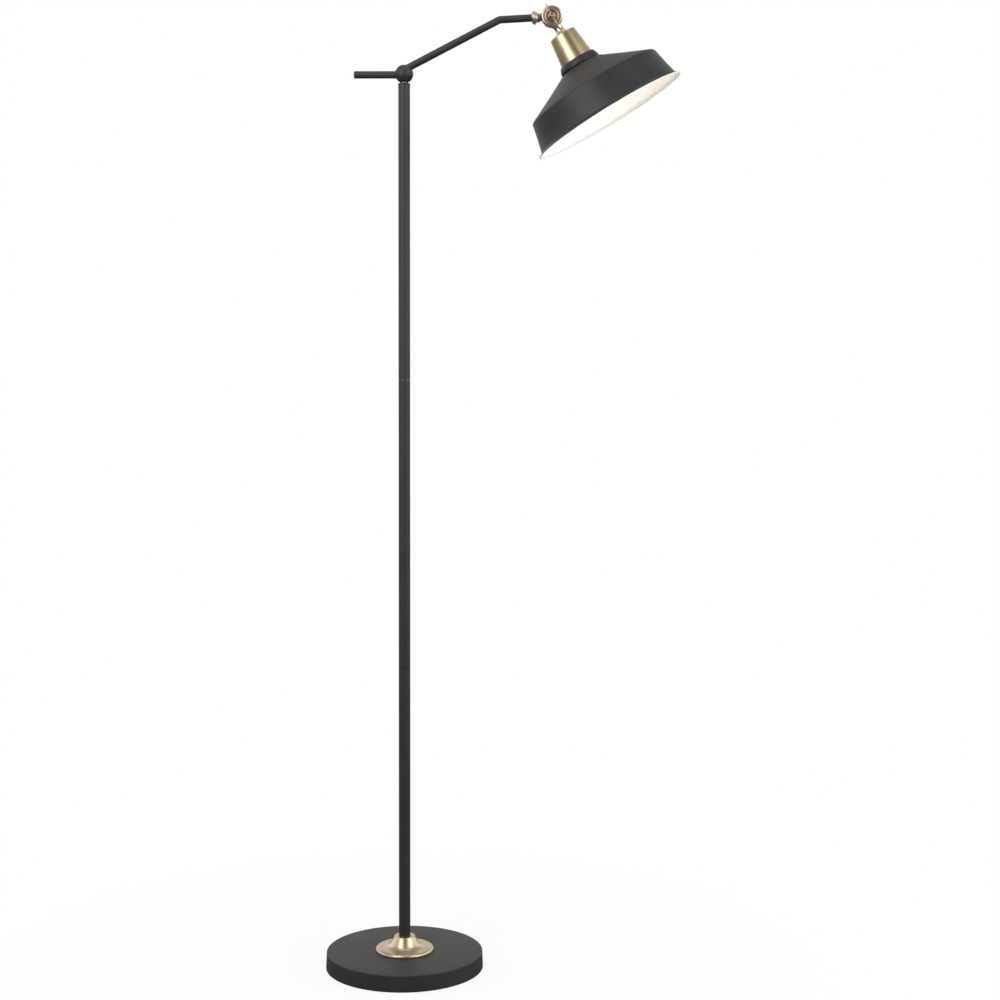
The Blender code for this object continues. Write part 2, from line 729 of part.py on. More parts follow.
def make_knuckle_fixings(arm_end):
    """Screw through both lugs, friction washer between them, washers and wing nut outside."""
    forward = (pi / 2, 0, 0)
    face = LUG_INNER_FACE + LUG_THICKNESS - LUG_RECESS_DEPTH
    friction = tube_profile(0.0155, SCREW_RADIUS + GAP, 0.0005, -0.0005)
    turned_ring(
        "knuckle_friction_washer", friction, "black_plastic", 20, parent=arm_end, rotation=forward
    )
    washer = tube_profile(0.0073, SCREW_RADIUS + GAP, face + GAP + 0.001, face + GAP)
    turned_ring("knuckle_washer", washer, "plated_steel", 16, parent=arm_end, rotation=forward)
    head_bottom = -face - GAP
    screw = [
        (0, face + 0.0076),
        (SCREW_RADIUS - 0.0004, face + 0.0076),
        (SCREW_RADIUS, face + 0.0072),
        (SCREW_RADIUS, head_bottom),
        (0.0068, head_bottom),
        (0.0070, head_bottom - 0.0018),
        (0.0052, head_bottom - 0.0036),
        (0.0025, head_bottom - 0.0044),
        (0, head_bottom - 0.0046),
    ]
    turned_solid("knuckle_screw", screw, "antique_brass", 16, parent=arm_end, rotation=forward)


def make_wing_nut(pivot):
    """Wing nut on the knuckle's screw; its ears lie in line with the head at rest."""
    seat = LUG_INNER_FACE + LUG_THICKNESS - LUG_RECESS_DEPTH + 0.001 + 2 * GAP
    top = seat + 0.0084
    hub = [
        (SCREW_RADIUS + GAP, top),
        (0.0036, top),
        (0.0041, top - 0.0008),
        (0.0048, seat + 0.0030),
        (0.0066, seat + 0.0012),
        (0.0066, seat),
        (SCREW_RADIUS + GAP, seat),
    ]
    turn = Euler((0, -HEAD_TILT, 0)).to_matrix() @ Euler((pi / 2, 0, 0)).to_matrix()
    nut = turned_ring(
        "wing_nut", hub, "antique_brass", 16, parent=pivot, rotation=turn.to_euler()
    )
    reach = WING_SPAN / 2
    ear = [(0.0033, seat + 0.0018), (0.0075, seat + 0.0026), (0.0125, seat + 0.0052)]
    tip = 0.0034
    ear += [
        (reach - tip + tip * cos(radians(a)), seat + 0.0098 + tip * sin(radians(a)))
        for a in range(-60, 151, 30)
    ]
    ear += [(0.0095, seat + 0.0088), (0.0060, seat + 0.0064), (0.0033, seat + 0.0060)]
    for side in (1, -1):
        outline = [(side * r, height) for r, height in ear]
        plate = flat_outline_mesh("wing", outline, WING_THICKNESS)
        upright = turn @ Matrix.Rotation(pi / 2, 3, "Z") @ Matrix.Rotation(pi / 2, 3, "X")
        wing = add_tool(f"wing_{side}", plate, pivot, (0, 0, 0), upright.to_euler())
        combine(nut, wing, "UNION")


# ---------------------------------------------------------------- head


def make_socket_cup(head):
    """Spun brass cup with a shallow domed top, open at the bottom, and its fixing nipple."""
    wall = CUP_WALL
    profile = [
        (NIPPLE_RADIUS + GAP, -CUP_TOP - GAP),
        (0.0098, -CUP_TOP - GAP),
        (0.0170, -CUP_TOP - 0.0012),
        (0.0210, -CUP_SHOULDER + 0.0010),
        (CUP_SHOULDER_RADIUS, -CUP_SHOULDER - 0.0004),
        (CUP_BOTTOM_RADIUS, -CUP_BOTTOM),
        (CUP_BOTTOM_RADIUS - wall, -CUP_BOTTOM),
        (CUP_SHOULDER_RADIUS - wall, -CUP_SHOULDER - 0.0016),
        (0.0165, -CUP_TOP - 0.0026),
        (NIPPLE_RADIUS + GAP, -CUP_TOP - GAP - wall),
    ]
    turned_ring("socket_cup", profile, "antique_brass", 32, parent=head)
    nipple = tube_profile(NIPPLE_RADIUS, NIPPLE_BORE, -0.0230, -0.0460)
    turned_ring("head_nipple", nipple, "plated_steel", 16, parent=head)
    nut_height = 0.003
    nut_bottom = -CUP_TOP - wall - 2 * GAP - nut_height
    hex_nut(
        "head_nut", 0.014, NIPPLE_RADIUS + GAP, nut_bottom, nut_height, "plated_steel", parent=head
    )


def make_neck_collar(head):
    """Black spun collar between the brass cup and the shade's crown."""
    wall = 0.0014
    profile = [
        (0.0268, -NECK_TOP),
        (NECK_TOP_RADIUS - 0.0006, -NECK_TOP),
        (NECK_TOP_RADIUS, -NECK_TOP - 0.0008),
        (NECK_BOTTOM_RADIUS, -NECK_BOTTOM + 0.0008),
        (NECK_BOTTOM_RADIUS - 0.0004, -NECK_BOTTOM),
        (0.0260, -NECK_BOTTOM),
        (0.0260, -NECK_BOTTOM + wall),
        (NECK_BOTTOM_RADIUS - 0.0026, -NECK_BOTTOM + wall),
        (NECK_TOP_RADIUS - 0.0016, -NECK_TOP - wall),
        (0.0222, -NECK_TOP - wall),
        (0.0222, -NECK_TOP),
    ]
    turned_ring("neck_collar", profile, "black_paint", 32, parent=head)


def make_shade(head):
    """Spun steel shade: cone, rounded shoulder, flaring skirt and an out-turned rolled rim."""
    wall = SHADE_WALL
    outside = [
        (SHADE_HOLE, -SHADE_TOP),
        (SHADE_CROWN_RADIUS, -SHADE_TOP),
        (SHADE_CROWN_RADIUS + 0.0022, -SHADE_TOP - 0.0008),
        (SHADE_SHOULDER_RADIUS - 0.0042, -SHADE_SHOULDER + 0.0022),
        (SHADE_SHOULDER_RADIUS - 0.0018, -SHADE_SHOULDER + 0.0006),
        (SHADE_SHOULDER_RADIUS - 0.0004, -SHADE_SHOULDER - 0.0010),
        (SHADE_SHOULDER_RADIUS + 0.0003, -SHADE_SHOULDER - 0.0030),
        (SHADE_SKIRT_RADIUS, -SHADE_SKIRT_END),
        (SHADE_SKIRT_RADIUS + 0.0022, -SHADE_SKIRT_END - 0.0024),
        (SHADE_RIM_RADIUS, -SHADE_RIM + 0.0014),
        (SHADE_RIM_RADIUS - 0.0004, -SHADE_RIM),
        (SHADE_RIM_RADIUS - 0.0017, -SHADE_RIM + 0.0001),
    ]
    inside = [
        (SHADE_SKIRT_RADIUS + 0.0012, -SHADE_SKIRT_END - 0.0031),
        (SHADE_SKIRT_RADIUS - wall, -SHADE_SKIRT_END - 0.0004),
        (SHADE_SHOULDER_RADIUS - wall + 0.0003, -SHADE_SHOULDER - 0.0034),
        (SHADE_SHOULDER_RADIUS - 0.0028, -SHADE_SHOULDER - 0.0004),
        (SHADE_CROWN_RADIUS + 0.0012, -SHADE_TOP - 0.0021),
        (SHADE_CROWN_RADIUS - 0.0006, -SHADE_TOP - wall),
        (SHADE_HOLE, -SHADE_TOP - wall),
    ]
    turned_ring("shade", outside + inside, "black_paint", 48, parent=head)


def make_lampholder(head):
    """E27 lampholder: insulating body, screwed shell, centre contact and the shade's ring."""
    body = [
        (NIPPLE_RADIUS + GAP, -HOLDER_TOP),
        (0.0120, -HOLDER_TOP),
        (0.0160, -HOLDER_TOP - 0.0030),
        (0.0172, -HOLDER_TOP - 0.0100),
        (HOLDER_RADIUS - 0.0006, -HOLDER_TOP - 0.0120),
        (HOLDER_RADIUS, -NECK_TOP - 0.0050),
        (HOLDER_RADIUS, -0.0942),
        (0.0172, -0.0942),
        (0.0172, -0.0560),
        (NIPPLE_RADIUS + GAP, -0.0500),
    ]
    turned_ring("lampholder_body", body, "black_plastic", 24, parent=head)
    shell = tube_profile(0.0168, 0.0158, -0.0610, -0.0812)
    turned_ring("lampholder_shell", shell, "antique_brass", 24, parent=head)
    contact = [(0, -0.0583), (0.0040, -0.0583), (0.0040, -0.0590), (0.0034, -0.0612), (0, -0.0618)]
    turned_solid("lampholder_contact", contact, "antique_brass", 12, parent=head)
    ring = [
        (HOLDER_RADIUS + GAP, -0.0902),
        (0.0278, -0.0902),
        (0.0284, -0.0908),
        (0.0284, -0.0926),
        (0.0226, -0.0934),
        (0.0220, -0.0988),
        (HOLDER_RADIUS + GAP, -0.0988),
    ]
    turned_ring("shade_ring", ring, "black_plastic", 24, parent=head)


def make_bulb(head):
    """E27 bulb: a thin glass envelope open at its neck, a screwed cap and its eyelet."""
    centre = -BULB_TIP + BULB_RADIUS
    neck = 0.0132
    neck_top = -0.0868
    wall = 0.0010
    outer = [(neck, neck_top), (neck + 0.0004, -0.0960)]
    outer += [(0.0168, -0.1060), (0.0222, -0.1180), (0.0272, -0.1290)]
    outer += arc(0, centre, BULB_RADIUS, 2, -90, 7)[:-1]
    inner_radius = BULB_RADIUS - wall
    inner = arc(0, centre, inner_radius, -90, 2, 6)[1:]
    inner += [(0.0262, -0.1290), (0.0211, -0.1180), (0.0157, -0.1060), (neck - wall, neck_top)]
    profile = outer + [(0, -BULB_TIP), (0, centre - inner_radius)] + inner
    turned_open_vessel("bulb_glass", profile, "opal_glass", 24, head)
    cap = [
        (0.0104, -0.0660),
        (0.0126, -0.0672),
        (0.0146, -0.0690),
    ]
    cap += [(0.0140, -0.0864), (0.0140, -0.0940), (neck + 0.0007, -0.0940), (neck + 0.0007, -0.0862)]
    cap += [(0.0124, -0.0850), (0.0124, -0.0700), (0.0104, -0.0676)]
    turned_ring("bulb_cap", cap, "plated_steel", 24, parent=head)
    eyelet = [(0, -BULB_SEAT), (0.0046, -BULB_SEAT - 0.0004), (0.0048, -BULB_SEAT - 0.0012)]
    eyelet += [(0.0098, -0.0654), (0.0101, -0.0664), (0.0101, -0.0690), (0, -0.0690)]
    turned_solid("bulb_contact", eyelet, "black_plastic", 16, parent=head)


def make_head_lead(head):
    """Lead from the knuckle's stem through the nipple to the lampholder."""
    route = [(0, 0, -0.0185), (0, 0, -0.0300), (0, 0, -0.0480), (0, 0, -0.0540)]
    add_piece("head_lead", swept_tube("head_lead", route, LEAD_RADIUS, 2), "black_rubber", head)


# ---------------------------------------------------------------- assembly


def build():
    make_base_cover()
    make_base_weight()
    make_base_plate()
    make_base_pad()
    make_plate_screws()
    make_base_fixings()
    make_cable_inlet()
    make_base_collar()
    make_pole()
    make_pole_lead()

    swivel_pivot = add_empty("swivel_pivot", (0, 0, BALL_CENTRE))
    knuckle_at = knuckle_centre() + Vector((0, 0, BALL_CENTRE))
    arm_end = add_empty("arm_end", knuckle_at, (0, pi / 2 - ARM_END_SLOPE, 0))
    nut_pivot = add_empty("wing_nut_pivot", knuckle_at)
    head_pivot = add_empty("head_pivot", knuckle_at, (0, -HEAD_TILT, 0))

    make_swivel(swivel_pivot)
    make_ball(swivel_pivot)
    make_stub(swivel_pivot)
    make_arm(swivel_pivot)
    make_arm_coupling(arm_end)
    make_knuckle(arm_end, head_pivot)
    make_knuckle_fixings(arm_end)
    make_wing_nut(nut_pivot)
    make_socket_cup(head_pivot)
    make_neck_collar(head_pivot)
    make_shade(head_pivot)
    make_lampholder(head_pivot)
    make_bulb(head_pivot)
    make_head_lead(head_pivot)


clear_scene()
LAMP = new_collection("adjustable_arm_floor_lamp")
TOOLS = new_collection("cutters")
build()
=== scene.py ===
import json
from math import atan2, cos, pi, radians, sin, tan

import bpy
from mathutils import Matrix, Vector


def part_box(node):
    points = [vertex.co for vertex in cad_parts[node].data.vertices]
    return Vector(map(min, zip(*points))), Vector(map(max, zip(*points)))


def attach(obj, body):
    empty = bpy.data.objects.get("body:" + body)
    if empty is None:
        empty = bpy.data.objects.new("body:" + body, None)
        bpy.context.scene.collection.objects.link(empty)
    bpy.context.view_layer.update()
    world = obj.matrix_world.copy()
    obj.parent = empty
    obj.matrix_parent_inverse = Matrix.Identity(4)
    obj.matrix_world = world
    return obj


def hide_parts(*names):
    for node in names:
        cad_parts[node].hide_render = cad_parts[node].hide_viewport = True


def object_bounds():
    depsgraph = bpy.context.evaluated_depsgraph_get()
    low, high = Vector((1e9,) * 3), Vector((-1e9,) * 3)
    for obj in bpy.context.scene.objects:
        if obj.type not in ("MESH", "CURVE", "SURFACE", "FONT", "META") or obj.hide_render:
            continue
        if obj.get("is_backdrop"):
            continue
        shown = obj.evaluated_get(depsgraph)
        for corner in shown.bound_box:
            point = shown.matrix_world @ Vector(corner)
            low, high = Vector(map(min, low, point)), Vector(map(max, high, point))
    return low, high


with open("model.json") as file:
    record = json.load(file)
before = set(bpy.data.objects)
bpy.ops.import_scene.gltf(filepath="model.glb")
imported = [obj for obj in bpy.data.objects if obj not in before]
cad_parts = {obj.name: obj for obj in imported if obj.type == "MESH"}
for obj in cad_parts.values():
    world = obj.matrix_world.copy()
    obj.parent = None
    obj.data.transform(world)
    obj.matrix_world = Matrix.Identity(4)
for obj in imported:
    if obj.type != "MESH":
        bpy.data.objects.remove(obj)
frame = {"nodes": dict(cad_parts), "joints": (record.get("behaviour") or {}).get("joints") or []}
cad_low, cad_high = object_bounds()
bpy.ops.object.select_all(action="DESELECT")

# ------------------------------------------------------------------ camera
# A medium long lens a little above the middle of the lamp, a little to the right of the pole and
# tipped down slightly, so that the base's top and the whole of the shade are in view.
camera_data = bpy.data.cameras.new("catalogue_camera")
camera_data.lens = 64
camera_data.sensor_width = 36
camera = bpy.data.objects.new("catalogue_camera", camera_data)
bpy.context.scene.collection.objects.link(camera)
camera_place = Matrix.Translation((0.2259, -2.8189, 0.9665))
camera_swing = Matrix.Rotation(radians(1.4965), 4, "Z")
camera_tip = Matrix.Rotation(radians(90 - 4.192), 4, "X")
camera_roll = Matrix.Rotation(radians(0.1886), 4, "Z")
camera.matrix_world = camera_place @ camera_swing @ camera_tip @ camera_roll
bpy.context.scene.camera = camera
bpy.context.scene.view_settings.view_transform = "Standard"

# ------------------------------------------------------------------ floor and light
# A pale studio floor that turns plain white away from the lamp, a white wall behind, a dim
# room in front, and area lights: a tall one at the left, a broad one at the right, one overhead,
# and a scrim high in front that leaves no highlight.


def wire(tree, kind, values=None, **settings):
    """Adds a node, sets its options, and fills its inputs with sockets or plain values."""
    made = tree.nodes.new(kind)
    for setting, value in settings.items():
        setattr(made, setting, value)
    for name, value in (values or {}).items():
        if isinstance(value, bpy.types.NodeSocket):
            tree.links.new(value, made.inputs[name])
        else:
            made.inputs[name].default_value = value
    return made


def step_between(tree, value, low, high, to_low=0.0, to_high=1.0):
    """A soft change from one value to another as a socket's value goes from low to high."""
    limits = {"Value": value, "From Min": low, "From Max": high, "To Min": to_low, "To Max": to_high}
    ramp = wire(tree, "ShaderNodeMapRange", limits, interpolation_type="SMOOTHSTEP")
    return ramp.outputs["Result"]


def arithmetic(tree, operation, first, second=0.0):
    return wire(tree, "ShaderNodeMath", {0: first, 1: second}, operation=operation).outputs[0]


def new_material(name):
    material = bpy.data.materials.new(name)
    material.use_nodes = True
    tree = material.node_tree
    tree.nodes.clear()
    return material, tree


FLOOR_RADIUS = 30.0
FLOOR_GAP = 0.0004
PAPER_END = 0.12
WHITE_START = 0.8
floor_material, tree = new_material("studio_floor")
floor_spot = wire(tree, "ShaderNodeTexCoord").outputs["Object"]
floor_distance = wire(tree, "ShaderNodeVectorMath", {0: floor_spot}, operation="LENGTH").outputs["Value"]
floor_paper = wire(tree, "ShaderNodeBsdfDiffuse", {"Color": (0.92, 0.92, 0.92, 1)})
floor_glow = wire(tree, "ShaderNodeEmission", {"Color": (1, 1, 1, 1), "Strength": 1.0})
floor_bounce = wire(tree, "ShaderNodeEmission", {"Color": (1, 1, 1, 1), "Strength": 0.14})
floor_fade = step_between(tree, floor_distance, PAPER_END, WHITE_START, 0.9, 1.0)
floor_look = wire(
    tree, "ShaderNodeMixShader", {0: floor_fade, 1: floor_paper.outputs[0], 2: floor_glow.outputs[0]}
)
floor_seen = wire(tree, "ShaderNodeLightPath").outputs["Is Camera Ray"]
floor_mix = wire(
    tree, "ShaderNodeMixShader", {0: floor_seen, 1: floor_bounce.outputs[0], 2: floor_look.outputs[0]}
)
wire(tree, "ShaderNodeOutputMaterial", {"Surface": floor_mix.outputs[0]})

bpy.ops.mesh.primitive_circle_add(
    vertices=64, radius=FLOOR_RADIUS, fill_type="NGON", location=(0, 0, cad_low.z - FLOOR_GAP)
)
floor = bpy.context.object
floor.name = "studio_floor"
floor.data.materials.append(floor_material)
floor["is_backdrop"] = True

world = bpy.data.worlds.new("studio_room")
world.use_nodes = True
tree = world.node_tree
tree.nodes.clear()
direction = wire(tree, "ShaderNodeTexCoord").outputs["Generated"]
side, depth, height = wire(tree, "ShaderNodeSeparateXYZ", {0: direction}).outputs
wall = step_between(tree, depth, -0.85, 0.7, 0.10, 0.75)
side_walls = arithmetic(tree, "MULTIPLY", arithmetic(tree, "MULTIPLY", side, side), 0.65)
above = step_between(tree, height, 0.35, 0.75, 1.0, 0.4)
below = step_between(tree, height, -0.5, 0.05, 0.45, 1.0)
walls = arithmetic(tree, "ADD", wall, side_walls)
room_light = arithmetic(tree, "MULTIPLY", arithmetic(tree, "MULTIPLY", walls, above), below)
room = wire(tree, "ShaderNodeBackground", {"Color": (1, 1, 1, 1), "Strength": room_light})
backdrop = wire(tree, "ShaderNodeBackground", {"Color": (1, 1, 1, 1), "Strength": 1.0})
seen = wire(tree, "ShaderNodeLightPath").outputs["Is Camera Ray"]
world_mix = wire(tree, "ShaderNodeMixShader", {0: seen, 1: room.outputs[0], 2: backdrop.outputs[0]})
wire(tree, "ShaderNodeOutputWorld", {"Surface": world_mix.outputs[0]})
bpy.context.scene.world = world


def add_softbox(name, place, aim, size, power, mirrored=True):
    """An area light turned to face what it lights. The camera doesn't see it.

    One that isn't mirrored lights the lamp but leaves no highlight on its metal.
    """
    light = bpy.data.lights.new(name, "AREA")
    light.shape = "RECTANGLE"
    light.size, light.size_y = size
    light.energy = power
    holder = bpy.data.objects.new(name, light)
    bpy.context.scene.collection.objects.link(holder)
    holder.location = place
    holder.rotation_euler = (Vector(aim) - Vector(place)).to_track_quat("-Z", "Y").to_euler()
    holder.visible_camera = False
    holder.visible_glossy = mirrored


add_softbox("key_softbox", (-0.98, -1.58, 2.0), (0.2, 0, 1.5), (1.15, 2.4), 25)
add_softbox("fill_softbox", (2.0, -1.35, 1.9), (0.2, 0, 1.5), (1.9, 2.6), 28)
add_softbox("overhead_softbox", (0.1, 0.1, 3.3), (0.1, 0, 0), (2.0, 2.0), 9)
add_softbox("front_scrim", (0.1, -1.3, 2.6), (0.1, 0, 1.2), (1.6, 1.25), 13, mirrored=False)

# ------------------------------------------------------------------ base pad
# Black felt disc, die cut and glued under the steel plate, so that the base doesn't scratch
# the floor.


def draw_out(name, outline, around=96, ends="joined"):
    """A round piece about +Z, drawn out of a circle ring by ring, each (radius, height).

    The two ends are "joined" to each other, "filled" with flat faces, or left "open". The last
    ring may have radius 0, which closes the piece on its axis.
    """
    radius, height = outline[0]
    bpy.ops.object.select_all(action="DESELECT")
    bpy.ops.mesh.primitive_circle_add(vertices=around, radius=radius, location=(0, 0, height))
    piece = bpy.context.object
    piece.name = piece.data.name = name
    bpy.ops.object.mode_set(mode="EDIT")
    bpy.ops.mesh.select_all(action="SELECT")
    for next_radius, next_height in outline[1:]:
        rise = (0, 0, next_height - height)
        bpy.ops.mesh.extrude_edges_move(TRANSFORM_OT_translate={"value": rise})
        if next_radius == 0:
            bpy.ops.mesh.merge(type="CENTER")
            break
        spread = next_radius / radius
        bpy.ops.transform.resize(value=(spread, spread, 1), center_override=(0, 0, next_height))
        radius, height = next_radius, next_height
    if ends != "open":
        bpy.ops.mesh.select_all(action="DESELECT")
        bpy.ops.mesh.select_non_manifold()
        if ends == "joined":
            bpy.ops.mesh.bridge_edge_loops()
        else:
            bpy.ops.mesh.fill_holes(sides=0)
    bpy.ops.mesh.select_all(action="SELECT")
    bpy.ops.mesh.normals_make_consistent(inside=False)
    bpy.ops.object.mode_set(mode="OBJECT")
    bpy.ops.object.transform_apply(location=True, rotation=True, scale=True)
    return piece


def pick_only(piece):
    bpy.ops.object.select_all(action="DESELECT")
    piece.select_set(True)
    bpy.context.view_layer.objects.active = piece


def finish_with(piece, kind, **settings):
    """Puts one modifier on the piece and applies it."""
    pick_only(piece)
    modifier = piece.modifiers.new(kind.title(), kind)
    for setting, value in settings.items():
        setattr(modifier, setting, value)
    bpy.ops.object.modifier_apply(modifier=modifier.name)


def shade_rounds(piece, angle=32):
    pick_only(piece)
    bpy.ops.object.shade_smooth_by_angle(angle=radians(angle))


def break_edges(piece, width, segments=2):
    """Takes the sharpness off the corners and shades the rounds smooth."""
    finish_with(
        piece,
        "BEVEL",
        width=width,
        segments=segments,
        limit_method="ANGLE",
        angle_limit=radians(32),
        use_clamp_overlap=True,
    )
    shade_rounds(piece)


def set_in_place(piece, place=(0, 0, 0), turn=(0, 0, 0)):
    """Moves and turns a piece made about the origin, then leaves its place in its mesh."""
    pick_only(piece)
    piece.location = place
    piece.rotation_euler = turn
    bpy.ops.object.transform_apply(location=True, rotation=True, scale=True)
    return piece


def hand_over(piece, material, body, slot, *stands_for):
    """Gives the piece its material and its CAD body, and hides the CAD nodes it stands for. The slot is
    not used.
    """
    if material is not None:
        piece.data.materials.append(material)
    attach(piece, body)
    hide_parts(*stands_for)


def mixed(tree, share, first, second):
    """A colour between two others, by a share from 0 to 1."""
    made = wire(tree, "ShaderNodeMix", data_type="RGBA")
    tree.links.new(share, made.inputs[0])
    for socket, colour in ((made.inputs[6], first), (made.inputs[7], second)):
        if isinstance(colour, bpy.types.NodeSocket):
            tree.links.new(colour, socket)
        else:
            socket.default_value = (*colour, 1)
    return made.outputs[2]


def noise(tree, spot, scale, detail=2.0, roughness=0.5):
    values = {"Vector": spot, "Scale": scale, "Detail": detail, "Roughness": roughness}
    return wire(tree, "ShaderNodeTexNoise", values).outputs["Fac"]


def finish_surface(tree, values, height=None, depth=0.0, strength=1.0):
    """The Principled surface of a material, with an optional relief of a depth in metres."""
    values = dict(values)
    if height is not None:
        relief = {"Height": height, "Distance": depth, "Strength": strength}
        values["Normal"] = wire(tree, "ShaderNodeBump", relief).outputs["Normal"]
    shader = wire(tree, "ShaderNodeBsdfPrincipled", values)
    wire(tree, "ShaderNodeOutputMaterial", {"Surface": shader.outputs[0]})


felt, tree = new_material("black_felt")
spot = wire(tree, "ShaderNodeTexCoord").outputs["Object"]
fibres = noise(tree, spot, 900.0, 5.0, 0.7)
tufts = noise(tree, spot, 60.0, 3.0)
felt_colour = mixed(tree, fibres, (0.012, 0.012, 0.012), (0.045, 0.043, 0.042))
finish_surface(
    tree,
    {
        "Base Color": felt_colour,
        "Roughness": step_between(tree, tufts, 0.3, 0.7, 0.9, 1.0),
        "Sheen Weight": 0.25,
        "Specular IOR Level": 0.15,
    },
    fibres,
    0.0006,
    0.8,
)

pad_low, pad_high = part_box("base_pad")
PAD_EDGE = 0.0005
pad = draw_out(
    "base_pad_felt",
    [
        (pad_high.x - PAD_EDGE, pad_low.z),
        (pad_high.x, pad_low.z + PAD_EDGE),
        (pad_high.x, pad_high.z - PAD_EDGE),
        (pad_high.x - PAD_EDGE, pad_high.z),
    ],
    160,
    "filled",
)
shade_rounds(pad)
hand_over(pad, felt, "stand", "felt", "base_pad")

# ------------------------------------------------------------------ base plate
# Zinc plated steel disc that closes the base. Only its rim shows, between felt and cover.

steel, tree = new_material("zinc_plated_steel")
spot = wire(tree, "ShaderNodeTexCoord").outputs["Object"]
bloom = noise(tree, spot, 90.0, 4.0, 0.6)
rolled_spot = wire(tree, "ShaderNodeMapping", {"Vector": spot, "Scale": (40, 900, 900)}).outputs[0]
scratches = noise(tree, rolled_spot, 1.0)
finish_surface(
    tree,
    {
        "Base Color": mixed(tree, bloom, (0.42, 0.42, 0.40), (0.62, 0.62, 0.60)),
        "Metallic": 1.0,
        "Roughness": step_between(tree, bloom, 0.3, 0.7, 0.28, 0.48),
    },
    scratches,
    0.00003,
    0.4,
)

plate_low, plate_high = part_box("base_plate")
PLATE_EDGE = 0.0003
plate = draw_out(
    "base_plate_disc",
    [
        (plate_high.x - PLATE_EDGE, plate_low.z),
        (plate_high.x, plate_low.z + PLATE_EDGE),
        (plate_high.x, plate_high.z),
    ],
    160,
    "filled",
)
shade_rounds(plate)
hand_over(plate, steel, "stand", "plated_steel", "base_plate")

# ------------------------------------------------------------------ base cover
# Pressed steel drum with a tight rolled top edge, powder coated satin black. It is pulled down
# over the cast weight by the pole's nipple.


def arc(centre_radius, centre_height, radius, start, end, points=7):
    """Outline points round a corner, with angles in degrees from straight out."""
    turned_points = []
    for i in range(points):
        angle = radians(start + (end - start) * i / (points - 1))
        turned_points.append((centre_radius + radius * cos(angle), centre_height + radius * sin(angle)))
    return turned_points


def new_group(name, inputs, outputs):
    """An empty shader node group with number sockets, and a vector where it reads a place."""
    group = bpy.data.node_groups.new(name, "ShaderNodeTree")
    for socket in inputs:
        kind = "NodeSocketVector" if socket == "Spot" else "NodeSocketFloat"
        group.interface.new_socket(socket, in_out="INPUT", socket_type=kind)
    for socket in outputs:
        group.interface.new_socket(socket, in_out="OUTPUT", socket_type="NodeSocketFloat")
    return group, wire(group, "NodeGroupInput").outputs


# The skin of baked powder: fine pebbles, and a slow drift in how thick and glossy it lies.
powder_skin, entry = new_group("powder_skin", ("Spot", "Pebble Scale"), ("Pebbles", "Drift"))
pebbles = noise(powder_skin, entry["Spot"], entry["Pebble Scale"], 2.0)
drift = noise(powder_skin, entry["Spot"], 26.0, 4.0, 0.55)
wire(powder_skin, "NodeGroupOutput", {"Pebbles": pebbles, "Drift": drift})


def powder_coat(name, dark, light, gloss, rough):
    """Baked powder paint between two shades, with its roughness between gloss and rough."""
    material, tree = new_material(name)
    spot = wire(tree, "ShaderNodeTexCoord").outputs["Object"]
    skin = wire(tree, "ShaderNodeGroup", node_tree=powder_skin)
    tree.links.new(spot, skin.inputs["Spot"])
    skin.inputs["Pebble Scale"].default_value = 1500.0
    grain = arithmetic(tree, "MULTIPLY", skin.outputs["Pebbles"], 0.3)
    tone = arithmetic(tree, "ADD", skin.outputs["Drift"], grain)
    finish_surface(
        tree,
        {
            "Base Color": mixed(tree, step_between(tree, tone, 0.45, 0.85), dark, light),
            "Roughness": step_between(tree, skin.outputs["Drift"], 0.3, 0.7, gloss, rough),
            "Specular IOR Level": 0.45,
        },
        skin.outputs["Pebbles"],
        0.00006,
        0.5,
    )
    return material


satin_black = powder_coat(
    "satin_black_powder", (0.028, 0.0276, 0.0274), (0.034, 0.0336, 0.0333), 0.47, 0.52
)

cover_low, cover_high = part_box("base_cover")
COVER_DRAFT = 0.0010
COVER_EDGE = 0.0016
COVER_WALL = 0.0015
COVER_HOLE = 0.0053
cover_top = cover_high.x - COVER_DRAFT
cover = draw_out(
    "base_cover_shell",
    [(COVER_HOLE, cover_high.z), (cover_top * 0.5, cover_high.z)]
    + arc(cover_top - COVER_EDGE, cover_high.z - COVER_EDGE, COVER_EDGE, 90, 0)
    + [(cover_high.x, cover_low.z)],
    192,
    "open",
)
finish_with(cover, "SOLIDIFY", thickness=COVER_WALL, offset=-1, use_even_offset=True)


def cut_away(piece, tool):
    """Cuts the tool's shape out of the piece and throws the tool away."""
    finish_with(piece, "BOOLEAN", operation="DIFFERENCE", solver="EXACT", object=tool)
    bpy.data.objects.remove(tool)


inlet_low, inlet_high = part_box("cable_inlet")
inlet_height = (inlet_low.z + inlet_high.z) / 2
inlet_lip = (inlet_high.x - inlet_low.x) / 2
INLET_GROOVE = 0.0014
INLET_PLAY = 0.0002
CUTTER_DEPTH = 0.02
inlet_neck = inlet_lip - INLET_GROOVE
bpy.ops.mesh.primitive_cylinder_add(
    vertices=48,
    radius=inlet_neck + INLET_PLAY,
    depth=CUTTER_DEPTH,
    location=(0, cover_high.y, inlet_height),
    rotation=(pi / 2, 0, 0),
)
cut_away(cover, bpy.context.object)
shade_rounds(cover)
hand_over(cover, satin_black, "stand", "black_paint", "base_cover")

# ------------------------------------------------------------------ cable inlet
# Soft rubber grommet snapped into the back of the cover, grooved round its waist.

